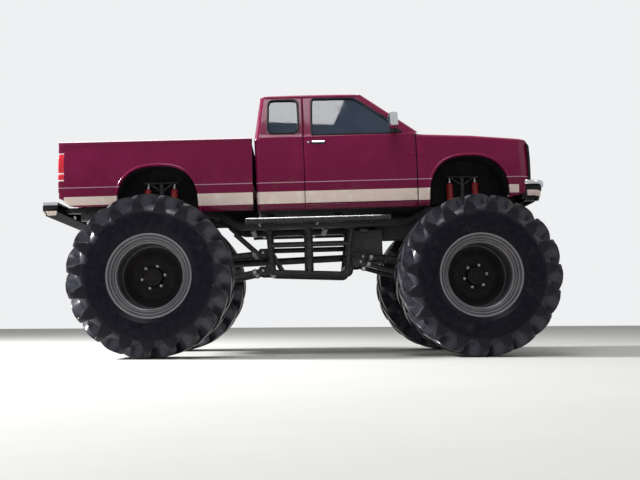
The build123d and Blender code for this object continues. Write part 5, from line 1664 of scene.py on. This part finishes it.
def seatPad(letter):
    # rounded boxes whose faces are crowned, with grooves sewn along the front and back
    seat = Shell()
    u = np.linspace(-np.pi, np.pi, 48, endpoint=False)[:, None]
    v = np.linspace(-np.pi / 2, np.pi / 2, 25)
    level = squared(np.cos(v))
    ball = points(squared(np.cos(u)) * level, squared(np.sin(u)) * level, squared(np.sin(v)))
    along, across, up = (np.cos(ball[..., i] * np.pi / 2) for i in range(3))
    groove = 5 * np.cos(ball[..., 1] * 7 * np.pi) ** 8 * (np.abs(ball[..., 0]) > 0.6)
    for low, high, tilt, crown in seatPads:
        low, high = np.array(low, float), np.array(high, float)
        p = (low + high) / 2 + ball * ((high - low) / 2 - crown / 2)
        p[..., 0] += crown / 2 * across * up * np.sign(ball[..., 0]) + tilt * (p[..., 2] - low[2])
        p[..., 2] += crown / 2 * across * along * np.sign(ball[..., 2])
        p[..., 0] -= groove
        seat.grid(p, closeU=True)
    for y in (350, 440):
        seat.bar((-95, y, 640), (-104, y, 740), 7, 10, 1)
    seat.block((20, 200, -4), (400, 590, 70), 6, 1)
    made = sideOf(seat, letter).piece("seatPad_" + letter, "chassis", "seat_cloth", ["cloth", "trim"],
                                      ["seats"], 60)


def dashTop():
    # dashboard with the instruments' hump
    dash = Shell()
    section = [(1044, 305), (905, 300), (806, 420), (792, 545), (822, 632), (900, 655), (1044, 658)]
    prism(dash, rounded(section, 34, 40), -716, 716, 10)
    prism(dash, rounded([(800, 560), (792, 600), (830, 668), (900, 668), (900, 560)], 20, 40), 250, 510, 12)
    dash.moved(fromBody).piece("dashTop", "chassis", "trim", ["trim"], ["dashboard"])


def steeringRim():
    # ring and spokes in the plane across the tilted column
    rim = Shell()
    normal = np.array([-1, 0, 0.45]) / math.hypot(1, 0.45)
    across = np.array([0, 1.0, 0])
    up = np.cross(normal, across)
    middle = np.array([700, 380, 560]) + normal * 10
    turn = np.linspace(0, 2 * np.pi, 56, endpoint=False)[:, None]
    rim.path(middle + 176 * (np.cos(turn) * across + np.sin(turn) * up), 12, 12, closed=True)
    for spoke in (0.1, math.pi - 0.1, math.pi / 2, -math.pi / 2):
        way = math.cos(spoke) * across + math.sin(spoke) * up
        rim.bar(middle + way * 30, middle + way * 172, 9, 10)
    rim.turned([(0, -14), (34, -14), (40, -4), (40, 6), (30, 14), (0, 16)], middle, normal, 28)
    rim.bar(middle - normal * 10, middle - normal * 150, 22, 16)
    rim.moved(fromBody).piece("steeringRim", "chassis", "trim", ["trim"], ["steering_wheel"], 40)


for letter in ("l", "r"):
    bedSide(letter)
for end in ("front", "rear"):
    axlePart(end)
for build in (bedDeck, tailgateSkin, tailLamps, bumperFront, bumperRear, noseFace, headLamps, frameRails,
              trussTubes, linkRods, knuckles, steeringRods, shocks, driveLine, sideSteps):
    build()
for letter in ("l", "r"):
    seatPad(letter)
dashTop()
steeringRim()
print("bed, bumpers, chassis and cabin made")

# Stage: pale floor, pale backdrop for the camera, soft light from above and both sides
stage = {
    "floor": (0.5, 0.5, 0.48),
    "floorHalf": 30.0,
    "sky": (0.86, 0.87, 0.88),
    "ambient": 0.5,
    "aim": (0, 0, 1.3),
    # each lamp's place, power and width
    "lamps": {"key": ((-8.8, -0.5, 6.2), 2700, 1.3), "front": ((-1.0, -5.5, 10.5), 560, 4.0),
              "fill": ((8.0, -4.0, 5.0), 45, 4.0)},
}


def makeFloor():
    # one large pale square, mottled by soft noise
    size = stage["floorHalf"]
    mesh = bpy.data.meshes.new("studioFloor")
    square = [(-size, -size, 0), (size, -size, 0), (size, size, 0), (-size, size, 0)]
    mesh.from_pydata(square, [], [(0, 1, 2, 3)])
    floor = bpy.data.objects.new("studioFloor", mesh)
    bpy.context.scene.collection.objects.link(floor)
    pale = Finish("studioFloor", Roughness=0.9)
    shade = tuple(c * 0.97 for c in stage["floor"])
    pale.feed("Base Color", pale.blend(pale.ramp(pale.noise(1.5), 0.3, 0.7), stage["floor"], shade))
    mesh.materials.append(pale.material)


def makeLight():
    # white light from all sides, while the camera itself sees the paler backdrop; then the lamps
    world = bpy.data.worlds.new("studio")
    bpy.context.scene.world = world
    world.use_nodes = True
    tree = world.node_tree
    background = tree.nodes["Background"]
    background.inputs["Color"].default_value = (1, 1, 1, 1)
    background.inputs["Strength"].default_value = stage["ambient"]
    seen = tree.nodes.new("ShaderNodeBackground")
    seen.inputs["Color"].default_value = (*stage["sky"], 1)
    rays = tree.nodes.new("ShaderNodeLightPath")
    mixed = tree.nodes.new("ShaderNodeMixShader")
    tree.links.new(rays.outputs["Is Camera Ray"], mixed.inputs[0])
    tree.links.new(background.outputs[0], mixed.inputs[1])
    tree.links.new(seen.outputs[0], mixed.inputs[2])
    tree.links.new(mixed.outputs[0], tree.nodes["World Output"].inputs[0])
    for name, (place, energy, width) in stage["lamps"].items():
        lamp = bpy.data.lights.new(name, "AREA")
        lamp.energy = energy
        lamp.size = width
        held = bpy.data.objects.new(name, lamp)
        held.location = place
        held.rotation_euler = (Vector(stage["aim"]) - Vector(place)).to_track_quat("-Z", "Y").to_euler()
        bpy.context.scene.collection.objects.link(held)


# Camera fitted to the wheels and the body: place, yaw, pitch and roll in radians, lens for a 36 mm sensor
view = {"place": (-0.0634, -9.167, 0.359), "yaw": 0.030, "pitch": 0.093, "roll": -0.005, "lens": 47.85}


def makeCamera():
    # looks ahead by yaw and pitch, then turns about that line by the roll
    cosYaw, sinYaw = math.cos(view["yaw"]), math.sin(view["yaw"])
    cosPitch, sinPitch = math.cos(view["pitch"]), math.sin(view["pitch"])
    ahead = Vector((sinYaw * cosPitch, cosYaw * cosPitch, sinPitch))
    right = Vector((cosYaw, -sinYaw, 0))
    above = right.cross(ahead)
    cosRoll, sinRoll = math.cos(view["roll"]), math.sin(view["roll"])
    rightRolled = cosRoll * right + sinRoll * above
    aboveRolled = cosRoll * above - sinRoll * right
    turn = Matrix((rightRolled, aboveRolled, -ahead)).transposed()
    data = bpy.data.cameras.new("photoCamera")
    data.lens = view["lens"]
    data.sensor_width = 36
    camera = bpy.data.objects.new("photoCamera", data)
    camera.matrix_world = Matrix.Translation(view["place"]) @ turn.to_4x4()
    bpy.context.scene.collection.objects.link(camera)
    bpy.context.scene.camera = camera


makeFloor()
makeLight()
makeCamera()
bpy.context.scene.view_settings.view_transform = "Standard"
print("stage and camera made")
